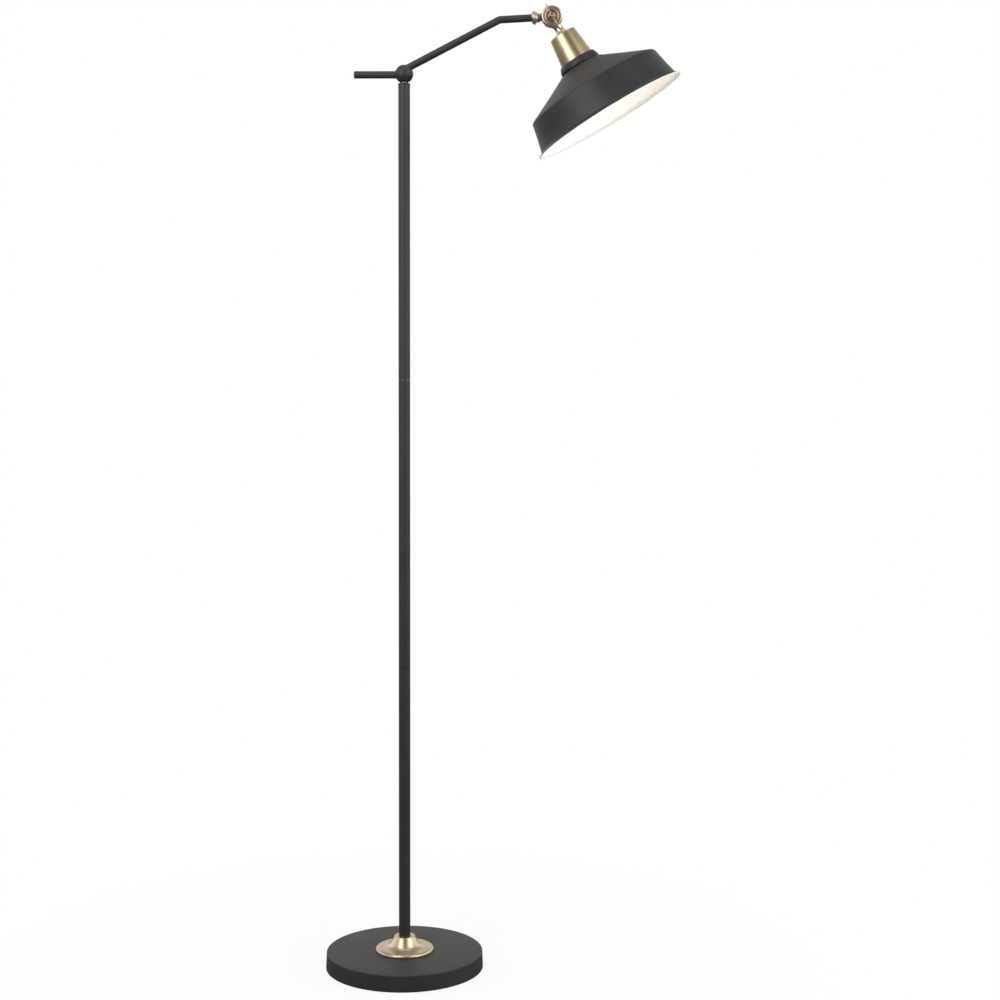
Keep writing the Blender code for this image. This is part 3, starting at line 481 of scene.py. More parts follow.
rubber, tree = new_material("black_rubber")
spot = wire(tree, "ShaderNodeTexCoord").outputs["Object"]
bloom = noise(tree, spot, 240.0, 4.0, 0.6)
finish_surface(
    tree,
    {
        "Base Color": mixed(tree, bloom, (0.012, 0.012, 0.012), (0.030, 0.030, 0.029)),
        "Roughness": step_between(tree, bloom, 0.3, 0.7, 0.62, 0.82),
        "Specular IOR Level": 0.35,
    },
    bloom,
    0.00005,
    0.5,
)

INLET_BORE = 0.0036
INLET_ROUND = 0.0012
inlet_out = inlet_high.y - cover_high.y
groove = COVER_WALL + 0.0004
grommet = draw_out(
    "cable_inlet_grommet",
    [(INLET_BORE, inlet_out)]
    + arc(inlet_lip - INLET_ROUND, inlet_out - INLET_ROUND, INLET_ROUND, 80, 0, 5)
    + [
        (inlet_lip, 0.0006),
        (inlet_neck, 0.0005),
        (inlet_neck, -groove),
        (inlet_lip - 0.0006, -groove),
        (inlet_lip - 0.0007, -groove - 0.0016),
        (INLET_BORE, -groove - 0.0018),
    ],
    48,
)
break_edges(grommet, 0.00015)
set_in_place(grommet, (0, cover_high.y, inlet_height), (-pi / 2, 0, 0))
hand_over(grommet, rubber, "stand", "black_rubber", "cable_inlet")

# ------------------------------------------------------------------ base collar
# Turned brass bell over the pole's foot, satin lacquered: a steep cone round the pole, filleted
# into a flat flange with a rounded edge.

# The fine lines that a lathe leaves round a turned piece, and its slow tarnish.
lathe_lines, entry = new_group("lathe_lines", ("Spot",), ("Lines", "Tarnish"))
across, along, height = wire(lathe_lines, "ShaderNodeSeparateXYZ", {0: entry["Spot"]}).outputs
flat_spot = wire(lathe_lines, "ShaderNodeCombineXYZ", {"X": across, "Y": along}).outputs[0]
radial = wire(lathe_lines, "ShaderNodeVectorMath", {0: flat_spot}, operation="LENGTH").outputs["Value"]
ring_spot = wire(lathe_lines, "ShaderNodeCombineXYZ", {"X": radial, "Y": height}).outputs[0]
lines = noise(lathe_lines, ring_spot, 2600.0, 3.0, 0.7)
tarnish = noise(lathe_lines, entry["Spot"], 70.0, 4.0, 0.6)
wire(lathe_lines, "NodeGroupOutput", {"Lines": lines, "Tarnish": tarnish})


def lathe_spot(tree, place, turn):
    """A piece's own coordinates, with Z along the axis that it was turned about."""
    spot = wire(tree, "ShaderNodeTexCoord").outputs["Object"]
    values = {"Vector": spot, "Location": place, "Rotation": turn}
    return wire(tree, "ShaderNodeMapping", values, vector_type="TEXTURE").outputs[0]


def turned_brass(name, place, turn, deep, bright, gloss, rough):
    """Lacquered brass between two shades, brushed round the axis that it was turned about."""
    material, tree = new_material(name)
    marks = wire(tree, "ShaderNodeGroup", node_tree=lathe_lines)
    tree.links.new(lathe_spot(tree, place, turn), marks.inputs["Spot"])
    streaks = arithmetic(tree, "MULTIPLY", marks.outputs["Lines"], 0.15)
    tone = arithmetic(tree, "ADD", marks.outputs["Tarnish"], streaks)
    finish_surface(
        tree,
        {
            "Base Color": mixed(tree, step_between(tree, tone, 0.35, 0.85), deep, bright),
            "Metallic": 1.0,
            "Roughness": step_between(tree, marks.outputs["Lines"], 0.25, 0.75, gloss, rough),
            "Coat Weight": 0.5,
            "Coat Roughness": 0.3,
        },
        marks.outputs["Lines"],
        0.000004,
        0.25,
    )
    return material


base_brass = turned_brass(
    "base_collar_brass", (0, 0, 0), (0, 0, 0), (0.64, 0.50, 0.32), (0.80, 0.65, 0.45), 0.31, 0.37
)

collar_low, collar_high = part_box("base_collar")
COLLAR_FLANGE = 0.0055
COLLAR_RIM = 0.0166
COLLAR_RIM_EDGE = 0.0005
COLLAR_BORE = 0.0095
FLANGE_EDGE = 0.0042
FLANGE_FOOT = 0.0008
flange_top = collar_low.z + COLLAR_FLANGE
flange_round = collar_high.x - FLANGE_EDGE
BELL_SLOPE = 60
BELL_FILLET = 0.0115
bell_foot = flange_top + BELL_FILLET * (1 - cos(radians(BELL_SLOPE)))
bell_foot_radius = COLLAR_RIM + (collar_high.z - COLLAR_RIM_EDGE - bell_foot) / tan(radians(BELL_SLOPE))
fillet_radius = bell_foot_radius + BELL_FILLET * sin(radians(BELL_SLOPE))
collar = draw_out(
    "base_collar_bell",
    [(COLLAR_BORE, collar_high.z)]
    + arc(COLLAR_RIM - COLLAR_RIM_EDGE, collar_high.z - COLLAR_RIM_EDGE, COLLAR_RIM_EDGE, 90, 0, 5)
    + arc(fillet_radius, flange_top + BELL_FILLET, BELL_FILLET, -90 - BELL_SLOPE, -90, 14)
    + arc(flange_round, flange_top - FLANGE_EDGE, FLANGE_EDGE, 90, 0, 7)
    + arc(collar_high.x - FLANGE_FOOT, collar_low.z + FLANGE_FOOT, FLANGE_FOOT, 0, -90, 5)
    + [(COLLAR_BORE, collar_low.z)],
    160,
)
shade_rounds(collar)
hand_over(collar, base_brass, "stand", "antique_brass", "base_collar")

# ------------------------------------------------------------------ pole
# Three equal lengths of steel tube, powder coated, screwed end to end on hollow couplers. Each
# end is turned with a small chamfer, so that a fine line shows at every joint.

POLE_WALL = 0.00125
POLE_CHAMFER = 0.0003
for node in ("pole_lower", "pole_middle", "pole_upper"):
    low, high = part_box(node)
    outside = high.x
    section = draw_out(
        node + "_tube",
        [
            (outside - POLE_CHAMFER, high.z),
            (outside, high.z - POLE_CHAMFER),
            (outside, (low.z + high.z) / 2),
            (outside, low.z + POLE_CHAMFER),
            (outside - POLE_CHAMFER, low.z),
            (outside - POLE_WALL, low.z),
            (outside - POLE_WALL, high.z),
        ],
        96,
    )
    shade_rounds(section)
    hand_over(section, satin_black, "stand", "black_paint", node)

# ------------------------------------------------------------------ pole cap and swivel washer
# A turned steel cap pushed into the pole's top, and the slim nylon washer that the ball turns on.

nylon, tree = new_material("black_nylon")
spot = wire(tree, "ShaderNodeTexCoord").outputs["Object"]
flow = noise(tree, spot, 180.0, 3.0)
finish_surface(
    tree,
    {
        "Base Color": mixed(tree, flow, (0.008, 0.008, 0.008), (0.020, 0.020, 0.020)),
        "Roughness": step_between(tree, flow, 0.3, 0.7, 0.38, 0.56),
    },
    flow,
    0.00003,
    0.3,
)

cap_low, cap_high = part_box("pole_top_cap")
pole_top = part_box("pole_upper")[1].z
SWIVEL_BORE = 0.0048
POLE_BORE = 0.0077
CAP_EDGE = 0.0005
CAP_GAP = 0.0003
WASHER_EDGE = 0.0001
cap_lip = cap_high.x
cap = draw_out(
    "pole_top_cap_turned",
    [(SWIVEL_BORE, cap_high.z)]
    + arc(cap_lip - CAP_EDGE, cap_high.z - CAP_EDGE, CAP_EDGE, 90, 0, 5)
    + [
        (cap_lip, pole_top + CAP_GAP),
        (POLE_BORE, pole_top + CAP_GAP),
        (POLE_BORE, cap_low.z),
        (SWIVEL_BORE, cap_low.z),
    ],
    96,
)
shade_rounds(cap)
hand_over(cap, satin_black, "stand", "black_paint", "pole_top_cap")

washer_low, washer_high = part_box("swivel_washer")
washer = draw_out(
    "swivel_washer_ring",
    [
        (SWIVEL_BORE, washer_high.z),
        (washer_high.x - WASHER_EDGE, washer_high.z),
        (washer_high.x, washer_high.z - WASHER_EDGE),
        (washer_high.x, washer_low.z),
        (SWIVEL_BORE, washer_low.z),
    ],
    64,
)
shade_rounds(washer)
hand_over(washer, nylon, "arm", "black_plastic", "swivel_washer")

# ------------------------------------------------------------------ ball
# Cast ball that carries the arm and the stub handle, with a flat under it where it turns on
# the pole. The tubes are pushed into bored sockets.

ARM_SLOPE = radians(27.26)
ARM_END_SLOPE = radians(3.2)
ARM_RISE = 0.0064
STUB_DROP = 0.0012
ARM_INSET = 0.0035
STUB_INSET = 0.0075
SOCKET_PLAY = 0.0002
joints = {joint["name"]: joint for joint in frame["joints"]}
ball_centre = Vector(joints["arm_swivel"]["pos_m"])
ball_low, ball_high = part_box("ball")
ball_radius = ball_high.y
arm_radius = (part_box("arm_tube")[1].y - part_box("arm_tube")[0].y) / 2
socket_radius = arm_radius + SOCKET_PLAY

bpy.ops.object.select_all(action="DESELECT")
bpy.ops.mesh.primitive_uv_sphere_add(
    segments=96, ring_count=48, radius=ball_radius, location=ball_centre
)
ball = bpy.context.object
ball.name = ball.data.name = "ball_joint"
bpy.ops.object.mode_set(mode="EDIT")
bpy.ops.mesh.select_all(action="SELECT")
bpy.ops.mesh.bisect(
    plane_co=(0, 0, ball_low.z), plane_no=(0, 0, 1), use_fill=True, clear_inner=True, threshold=0.00001
)
bpy.ops.mesh.select_all(action="SELECT")
bpy.ops.mesh.normals_make_consistent(inside=False)
bpy.ops.object.mode_set(mode="OBJECT")
bpy.ops.object.transform_apply(location=True, rotation=True, scale=True)

arm_way = Vector((cos(ARM_SLOPE), 0, sin(ARM_SLOPE)))
arm_root = ball_centre + Vector((0, 0, ARM_RISE)) + arm_way * ARM_INSET
stub_root = ball_centre + Vector((-STUB_INSET, 0, -STUB_DROP))
SOCKET_DEPTH = 0.02
for root, way in ((arm_root, arm_way), (stub_root, Vector((-1, 0, 0)))):
    bpy.ops.mesh.primitive_cylinder_add(
        vertices=64,
        radius=socket_radius,
        depth=SOCKET_DEPTH,
        location=root + way * SOCKET_DEPTH / 2,
        rotation=way.to_track_quat("Z", "Y").to_euler(),
    )
    cut_away(ball, bpy.context.object)
shade_rounds(ball)
hand_over(ball, satin_black, "arm", "black_paint", "ball")

# ------------------------------------------------------------------ stub handle
# Short length of the arm's tube opposite the arm, used to turn it, closed by a pressed-in cap.

stub_low, stub_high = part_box("stub_handle")
cap_low, cap_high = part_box("stub_end_cap")
stub_height = ball_centre.z - STUB_DROP
STUB_EDGE = 0.0006
STUB_CHAMFER = 0.0001
STUB_WALL = 0.0011
CAP_SPIGOT = 0.0014
CAP_SEAT = 0.0002
toward_stub = (0, -pi / 2, 0)
stub = draw_out(
    "stub_handle_tube",
    [
        (arm_radius, -stub_high.x),
        (arm_radius, -stub_low.x - STUB_CHAMFER),
        (arm_radius - STUB_CHAMFER, -stub_low.x),
        (arm_radius - STUB_WALL, -stub_low.x),
        (arm_radius - STUB_WALL, -stub_high.x),
    ],
    72,
)
shade_rounds(stub)
set_in_place(stub, (0, 0, stub_height), toward_stub)
hand_over(stub, satin_black, "arm", "black_paint", "stub_handle")

end_cap = draw_out(
    "stub_end_cap_disc",
    [(arm_radius - CAP_SPIGOT, -cap_high.x), (arm_radius - CAP_SPIGOT, -stub_low.x + CAP_SEAT)]
    + [(arm_radius, -stub_low.x + CAP_SEAT)]
    + arc(arm_radius - STUB_EDGE, -cap_low.x - STUB_EDGE, STUB_EDGE, 0, 90, 5),
    72,
    "filled",
)
shade_rounds(end_cap)
set_in_place(end_cap, (0, 0, stub_height), toward_stub)
hand_over(end_cap, satin_black, "arm", "black_paint", "stub_end_cap")

# ------------------------------------------------------------------ arm
# One steel tube, bent once on a tight former: a long sloping run out of the ball, then a short
# near-level run into the brass coupling.

knuckle = Vector(joints["head_tilt"]["pos_m"])
ELBOW_X = 0.149
ELBOW_RADIUS = 0.011
ARM_WALL = 0.0011
ARM_TUBE_END = 0.0290
ARM_START = 0.0003
level_way = Vector((cos(ARM_END_SLOPE), 0, sin(ARM_END_SLOPE)))
elbow = ball_centre + Vector((ELBOW_X, 0, ARM_RISE + ELBOW_X * tan(ARM_SLOPE)))
half_turn = (ARM_SLOPE - ARM_END_SLOPE) / 2
bend_start = elbow - arm_way * ELBOW_RADIUS * tan(half_turn)
bend_end = elbow + level_way * ELBOW_RADIUS * tan(half_turn)
bend_centre = bend_start + Vector((sin(ARM_SLOPE), 0, -cos(ARM_SLOPE))) * ELBOW_RADIUS
arm_end = knuckle - level_way * ARM_TUBE_END

bpy.ops.object.select_all(action="DESELECT")
bpy.ops.mesh.primitive_circle_add(
    vertices=64,
    radius=arm_radius,
    location=arm_root + arm_way * ARM_START,
    rotation=arm_way.to_track_quat("Z", "Y").to_euler(),
)
arm = bpy.context.object
arm.name = arm.data.name = "arm_tube_bent"
bpy.ops.object.transform_apply(location=True, rotation=True, scale=True)
bpy.ops.object.mode_set(mode="EDIT")
bpy.ops.mesh.select_all(action="SELECT")
long_run = bend_start - arm_root - arm_way * ARM_START
bpy.ops.mesh.extrude_edges_move(TRANSFORM_OT_translate={"value": long_run})
bpy.ops.mesh.spin(steps=10, angle=2 * half_turn, center=bend_centre, axis=(0, -1, 0))
bpy.ops.mesh.extrude_edges_move(TRANSFORM_OT_translate={"value": arm_end - bend_end})
bpy.ops.mesh.select_all(action="SELECT")
bpy.ops.mesh.normals_make_consistent(inside=False)
bpy.ops.object.mode_set(mode="OBJECT")
finish_with(arm, "SOLIDIFY", thickness=ARM_WALL, offset=-1)
shade_rounds(arm)
hand_over(arm, satin_black, "arm", "black_paint", "arm_tube")

# ------------------------------------------------------------------ arm coupling and lock ring
# Cast brass coupling, turned to a trumpet flare, screwed on the arm's end, and the dark ring that
# locks the knuckle's spigot in it.

along_arm = (0, pi / 2 - ARM_END_SLOPE, 0)


def aged_brass(name, place, turn, recess=None):
    """Antiqued brass with brown patina, darker inside a recess of a radius about its axis."""
    material, tree = new_material(name)
    spot = lathe_spot(tree, place, turn)
    marks = wire(tree, "ShaderNodeGroup", node_tree=lathe_lines)
    tree.links.new(spot, marks.inputs["Spot"])
    blotches = noise(tree, spot, 60.0, 3.0, 0.5)
    patina = step_between(tree, blotches, 0.35, 0.75, 0.05, 0.35)
    if recess is not None:
        x, y, _ = wire(tree, "ShaderNodeSeparateXYZ", {0: spot}).outputs
        flat_spot = wire(tree, "ShaderNodeCombineXYZ", {"X": x, "Y": y}).outputs[0]
        reach = wire(tree, "ShaderNodeVectorMath", {0: flat_spot}, operation="LENGTH").outputs["Value"]
        inside = step_between(tree, reach, recess, recess - 0.0006)
        patina = arithmetic(tree, "MAXIMUM", patina, inside)
    finish_surface(
        tree,
        {
            "Base Color": mixed(tree, patina, (0.78, 0.61, 0.47), (0.16, 0.10, 0.065)),
            "Metallic": step_between(tree, patina, 0.0, 1.0, 1.0, 0.82),
            "Roughness": step_between(tree, patina, 0.0, 1.0, 0.28, 0.48),
            "Coat Weight": 0.3,
            "Coat Roughness": 0.3,
        },
        marks.outputs["Lines"],
        0.000004,
        0.25,
    )
    return material


coupling_brass = aged_brass("arm_coupling_brass", knuckle, along_arm)
COUPLING_FRONT = 0.0186
COUPLING_BACK = 0.0318
coupling = draw_out(
    "arm_coupling_flare",
    [
        (0.0046, -COUPLING_FRONT),
        (0.0068, -COUPLING_FRONT),
        (0.0071, -COUPLING_FRONT - 0.0003),
        (0.0071, -0.0215),
        (0.0073, -0.0229),
        (0.0079, -0.0241),
        (0.0088, -0.0251),
        (0.0100, -0.0259),
        (0.0106, -0.0266),
        (0.0108, -0.0273),
        (0.0106, -0.0281),
        (0.0098, -0.0290),
        (0.0086, -0.0302),
        (0.0076, -0.0313),
        (0.0069, -COUPLING_BACK),
        (0.0060, -COUPLING_BACK),
        (0.0060, -0.0288),
        (0.0046, -0.0288),
    ],
    96,
)
shade_rounds(coupling, 40)
set_in_place(coupling, knuckle, along_arm)
hand_over(coupling, coupling_brass, "arm", "antique_brass", "arm_coupling")

lock_ring = draw_out(
    "arm_lock_ring_dark",
    [(0.0045, -0.0172), (0.0061, -0.0172), (0.0063, -0.0174), (0.0063, -0.0181), (0.0061, -0.0183)]
    + [(0.0045, -0.0183)],
    64,
)
shade_rounds(lock_ring)
set_in_place(lock_ring, knuckle, along_arm)
hand_over(lock_ring, nylon, "arm", "black_plastic", "arm_lock_ring")

# ------------------------------------------------------------------ knuckle
# Two like brass castings face to face on one screw: the front one is on the arm and the rear one
# on the head. Each is a thick disc with a raised ring round a recess, and a turned stem.

HEAD_TILT = radians(30.9)
along_head = (0, -HEAD_TILT, 0)
to_front = (pi / 2, 0, 0)
to_back = (-pi / 2, 0, 0)
LUG_RADIUS = 0.0165
LUG_FACE = 0.0095
LUG_GAP = 0.0008
LUG_RING = 0.0107
LUG_RECESS = 0.0083
RECESS_FLOOR = LUG_FACE - 0.0020
SCREW_CLEARANCE = 0.0028
LUG_CLEARANCE = 0.0005
MATE_CUTTER_DEPTH = 0.03
# Where the painted dark seam at the stem's foot begins, along the head's axis.
PAINTED_SEAM_FROM = 0.03


def join_on(piece, other):
    """Makes one body of two shapes."""
    finish_with(piece, "BOOLEAN", operation="UNION", solver="EXACT", object=other)
    bpy.data.objects.remove(other)


def make_lug(name, side_turn, stem, stem_turn, front):
    """A ringed disc on the screw's axis, joined to a stem that is cut away beside its mate."""
    edge = 0.0028
    lug = draw_out(
        name,
        [(SCREW_CLEARANCE, RECESS_FLOOR), (LUG_RECESS - 0.0006, RECESS_FLOOR)]
        + arc(LUG_RECESS - 0.0006, RECESS_FLOOR + 0.0006, 0.0006, -90, 0, 4)[1:]
        + arc(LUG_RECESS + 0.0006, LUG_FACE - 0.0002, 0.0006, 180, 90, 4)
        + arc(LUG_RING - 0.0006, LUG_FACE - 0.0002, 0.0006, 90, 0, 4)
        + [(LUG_RING + 0.0003, LUG_FACE - 0.0009)]
        + arc(LUG_RADIUS - edge, LUG_FACE - 0.0009 - edge, edge, 84, 0, 7)
        + [(LUG_RADIUS, LUG_GAP + 0.0005), (LUG_RADIUS - 0.0005, LUG_GAP), (SCREW_CLEARANCE, LUG_GAP)],
        128,
    )
    set_in_place(lug, knuckle, side_turn)
    shank = draw_out(name + "_shank", stem, 72, "filled")
    set_in_place(shank, knuckle, stem_turn)
    side = -1 if front else 1
    bpy.ops.mesh.primitive_cylinder_add(
        vertices=96,
        radius=LUG_RADIUS + LUG_CLEARANCE,
        depth=MATE_CUTTER_DEPTH,
        location=knuckle + Vector((0, side * (LUG_GAP - MATE_CUTTER_DEPTH / 2), 0)),
        rotation=(pi / 2, 0, 0),
    )
    cut_away(shank, bpy.context.object)
    join_on(lug, shank)
    shade_rounds(lug, 38)
    return lug


front_brass = aged_brass("front_lug_brass", knuckle, to_front, LUG_RECESS)
rear_brass = aged_brass("rear_lug_brass", knuckle, to_back, LUG_RECESS)

spigot = [(0.0062, -0.0125), (0.0062, -0.0164), (0.0058, -0.0169), (0.0042, -0.0169), (0.0042, -0.0258)]
arm_lug = make_lug("knuckle_front_lug", to_front, spigot, along_arm, True)
hand_over(arm_lug, front_brass, "arm", "antique_brass", "knuckle_arm_lug")

stem = [
    (0.0088, -0.0125),
    (0.0088, -0.0146),
    (0.0084, -0.0156),
    (0.0076, -0.0172),
    (0.0070, -0.0190),
    (0.0067, -0.0210),
    (0.0067, -0.0228),
    (0.0069, -0.0244),
    (0.0074, -0.0260),
    (0.0083, -0.0275),
    (0.0092, -0.0286),
    (0.0098, -0.0292),
    (0.0100, -0.0297),
    (0.0098, -0.0299),
    (0.0084, -0.0300),
    (0.0084, -0.0309),
]
head_lug = make_lug("knuckle_rear_lug", to_back, stem, along_head, False)
head_way = Vector((sin(HEAD_TILT), 0, -cos(HEAD_TILT)))
head_lug.data.materials.append(rear_brass)
head_lug.data.materials.append(nylon)
# Painted shade: faces of the stem's foot, beyond this distance along the head's axis, get black nylon, a
# dark band standing in for the shadow in the gap between the stem and the cup.
for face in head_lug.data.polygons:
    face.material_index = 1 if (face.center - knuckle).dot(head_way) > PAINTED_SEAM_FROM else 0
hand_over(head_lug, None, "head", "antique_brass", "knuckle_head_lug")

friction_washer = draw_out(
    "knuckle_friction_disc",
    [(SCREW_CLEARANCE, 0.0005), (0.0154, 0.0005), (0.0155, 0.0004), (0.0155, -0.0005)]
    + [(SCREW_CLEARANCE, -0.0005)],
    96,
)
shade_rounds(friction_washer)
set_in_place(friction_washer, knuckle, to_front)
hand_over(friction_washer, nylon, "arm", "black_plastic", "knuckle_friction_washer")

nut_brass = aged_brass("wing_nut_brass", knuckle, to_front)
washer_seat = RECESS_FLOOR + 0.0003
washer_top = RECESS_FLOOR + 0.0013
flat_washer = draw_out(
    "knuckle_flat_washer",
    [(SCREW_CLEARANCE, washer_top), (0.0071, washer_top), (0.0073, washer_top - 0.0002)]
    + [(0.0073, washer_seat), (SCREW_CLEARANCE, washer_seat)],
    64,
)
shade_rounds(flat_washer)
set_in_place(flat_washer, knuckle, to_front)
hand_over(flat_washer, nut_brass, "arm", "plated_steel", "knuckle_washer")

SCREW_RADIUS = 0.0025
TIP_DOME = 0.0011
SCREW_HEAD = 0.0070
HEAD_RIM = 0.0015
HEAD_DOME = 0.0031
screw_tip = RECESS_FLOOR + 0.0076
screw_seat = -RECESS_FLOOR - 0.0003
screw_crown = screw_seat - HEAD_RIM - HEAD_DOME
screw = draw_out(
    "knuckle_screw_brass",
    [
        (SCREW_RADIUS * sin(radians(a)), screw_tip - TIP_DOME * (1 - cos(radians(a))))
        for a in (15, 35, 55, 75, 90)
    ]
    + [(SCREW_RADIUS, screw_seat)]
    + [(0.0068, screw_seat), (SCREW_HEAD, screw_seat - 0.0003), (SCREW_HEAD, screw_seat - HEAD_RIM)]
    + [
        (SCREW_HEAD * cos(radians(a)), screw_seat - HEAD_RIM - HEAD_DOME * sin(radians(a)))
        for a in range(10, 90, 10)
    ]
    + [(0, screw_crown)],
    64,
    "filled",
)
bpy.ops.mesh.primitive_cube_add(size=1, location=(0, 0, screw_crown), scale=(0.016, 0.0012, 0.0032))
cut_away(screw, bpy.context.object)
shade_rounds(screw)
set_in_place(screw, knuckle, to_front)
hand_over(screw, nut_brass, "arm", "antique_brass", "knuckle_screw")

# ------------------------------------------------------------------ wing nut
# Hot-forged brass wing nut: a conical hub with two flat ears swept out and forward. At rest its
# ears stand in line with the head.

NUT_SEAT = RECESS_FLOOR + 0.0016
hub_top = NUT_SEAT + 0.0084
nut = draw_out(
    "wing_nut_forged",
    [
        (SCREW_CLEARANCE, hub_top),
        (0.0031, hub_top - 0.0001),
        (0.0036, hub_top - 0.0006),
        (0.0040, hub_top - 0.0015),
        (0.0044, hub_top - 0.0030),
        (0.0046, NUT_SEAT + 0.0038),
        (0.0052, NUT_SEAT + 0.0026),
        (0.0062, NUT_SEAT + 0.0014),
        (0.0066, NUT_SEAT + 0.0007),
        (0.0065, NUT_SEAT),
        (SCREW_CLEARANCE, NUT_SEAT),
    ],
    64,
)
set_in_place(nut, knuckle, to_front)

EAR_THICKNESS = 0.0016
# Along the ear: reach from the screw's axis, height over the seat, and half the ear's width.
EAR_RINGS = [
    (0.0032, 0.0040, 0.0021),
    (0.0055, 0.0044, 0.0019),
    (0.0080, 0.0054, 0.0020),
    (0.0105, 0.0070, 0.0024),
    (0.0128, 0.0086, 0.0030),
    (0.0148, 0.0098, 0.0034),
    (0.0164, 0.0104, 0.0031),
    (0.0175, 0.0107, 0.0022),
    (0.0181, 0.0108, 0.0011),
]


def make_ear(side):
    """One ear, drawn out ring by ring along its reach, then laid on the screw's axis."""
    reach, rise, half = EAR_RINGS[0]
    bpy.ops.object.select_all(action="DESELECT")
    bpy.ops.mesh.primitive_circle_add(vertices=24, radius=half, location=(rise, 0, reach))
    ear = bpy.context.object
    bpy.ops.object.mode_set(mode="EDIT")
    bpy.ops.mesh.select_all(action="SELECT")
    flat = EAR_THICKNESS / 2 / half
    bpy.ops.transform.resize(value=(1, flat, 1), center_override=(rise, 0, reach))
    for next_reach, next_rise, next_half in EAR_RINGS[1:]:
        step = (next_rise - rise, 0, next_reach - reach)
        bpy.ops.mesh.extrude_edges_move(TRANSFORM_OT_translate={"value": step})
        reach, rise = next_reach, next_rise
        bpy.ops.transform.resize(value=(next_half / half, 1, 1), center_override=(rise, 0, reach))
        half = next_half
    bpy.ops.mesh.select_all(action="DESELECT")
    bpy.ops.mesh.select_non_manifold()
    bpy.ops.mesh.fill_holes(sides=0)
    bpy.ops.mesh.select_all(action="SELECT")
    bpy.ops.mesh.normals_make_consistent(inside=False)
    bpy.ops.object.mode_set(mode="OBJECT")
    bpy.ops.object.transform_apply(location=True, rotation=True, scale=True)
    outward = head_way * side
    forward = Vector((0, -1, 0))
    turn = Matrix((forward, outward.cross(forward), outward)).transposed()
    set_in_place(ear, knuckle + forward * NUT_SEAT, turn.to_euler())
    finish_with(ear, "BEVEL", width=0.0003, segments=2, limit_method="ANGLE", angle_limit=radians(50))
    return ear


for side in (1, -1):
    join_on(nut, make_ear(side))
shade_rounds(nut, 40)
hand_over(nut, nut_brass, "wing_nut", "antique_brass", "wing_nut")

# ------------------------------------------------------------------ socket cup
# Spun brass cup over the lampholder, satin lacquered, with a tight shoulder under its shallow
# domed top and a straight flaring wall.

cup_brass = turned_brass(
    "socket_cup_brass", knuckle, along_head, (0.62, 0.48, 0.285), (0.77, 0.62, 0.40), 0.30, 0.36
)
CUP_TOP = 0.0311
CUP_SHOULDER = 0.0340
CUP_BOTTOM = 0.0764
CUP_WALL = 0.0011
cup = draw_out(
    "socket_cup_spun",
    [
        (0.0053, -CUP_TOP),
        (0.0110, -CUP_TOP - 0.0001),
        (0.0164, -CUP_TOP - 0.0006),
        (0.0191, -CUP_TOP - 0.0011),
    ]
    + arc(0.0196, -CUP_SHOULDER + 0.0003, 0.0021, 78, 6, 7)
    + [(0.0268, -CUP_BOTTOM)],
    160,
    "open",
)
finish_with(cup, "SOLIDIFY", thickness=CUP_WALL, offset=-1, use_even_offset=True)
shade_rounds(cup)
set_in_place(cup, knuckle, along_head)
hand_over(cup, cup_brass, "head", "antique_brass", "socket_cup")

# ------------------------------------------------------------------ neck collar
# Spun steel ring, powder coated, that seats the brass cup on the shade's crown.

NECK_TOP = 0.0767
NECK_BOTTOM = 0.0884
deep_black = powder_coat(
    "deep_black_powder", (0.014, 0.0137, 0.0134), (0.018, 0.0177, 0.0174), 0.40, 0.46
)
neck_collar = draw_out(
    "neck_collar_spun",
    [(0.0222, -NECK_TOP)]
    + arc(0.0289, -NECK_TOP - 0.0010, 0.0010, 90, 20, 5)
    + [
        (0.0311, -NECK_TOP - 0.0034),
        (0.0323, -NECK_TOP - 0.0060),
        (0.0329, -NECK_TOP - 0.0082),
        (0.0331, -NECK_TOP - 0.0098),
        (0.0329, -NECK_BOTTOM + 0.0006),
    ]
    + arc(0.0323, -NECK_BOTTOM + 0.0003, 0.0003, 0, -90, 4)
    + [
        (0.0260, -NECK_BOTTOM),
        (0.0260, -NECK_BOTTOM + 0.0014),
        (0.0304, -NECK_BOTTOM + 0.0014),
        (0.0280, -NECK_TOP - 0.0014),
        (0.0222, -NECK_TOP - 0.0014),
    ],
    128,
)
shade_rounds(neck_collar)
set_in_place(neck_collar, knuckle, along_head)
hand_over(neck_collar, deep_black, "head", "black_paint", "neck_collar")

# ------------------------------------------------------------------ shade
# Spun steel shade: a straight cone, a tight rounded shoulder, a skirt that flares slightly, and
# an out-turned rolled rim. Satin black outside, its black made darker than the pole's as painted
# shade, and white enamel inside with a painted glow and painted warm light on the side away from
# the pole.

# The pole's powder coat again, made darker for the shade as painted shade, so that the skirt reads
# darker than the pole.
shade_black_painted_shade = powder_coat(
    "shade_powder_painted_darker", (0.019, 0.0187, 0.0185), (0.024, 0.0237, 0.0235), 0.44, 0.49
)
SHADE_TOP = 0.0887
SHADE_HOLE = 0.0206
SHADE_WALL = 0.0009
CROWN_RADIUS = 0.0325
CONE_RADIUS = 0.1106
SKIRT_FLARE = 0.0098
ROLL_CENTRE = 0.1262
ROLL_RADIUS = 0.0014
SHOULDER_ROUND = 0.0050
SKIRT_START = 0.1285
SKIRT_END = 0.1728
cone_slope = atan2(SKIRT_START - SHADE_TOP, CONE_RADIUS - CROWN_RADIUS)
skirt_slope = atan2(SKIRT_FLARE, SKIRT_END - SKIRT_START)
round_from = 90 - cone_slope * 180 / pi
round_to = skirt_slope * 180 / pi
shoulder_radius = 0.1109 - SHOULDER_ROUND * cos(skirt_slope)
shoulder_height = -SKIRT_START - 0.0022
SHADE_ROLL = -0.1779
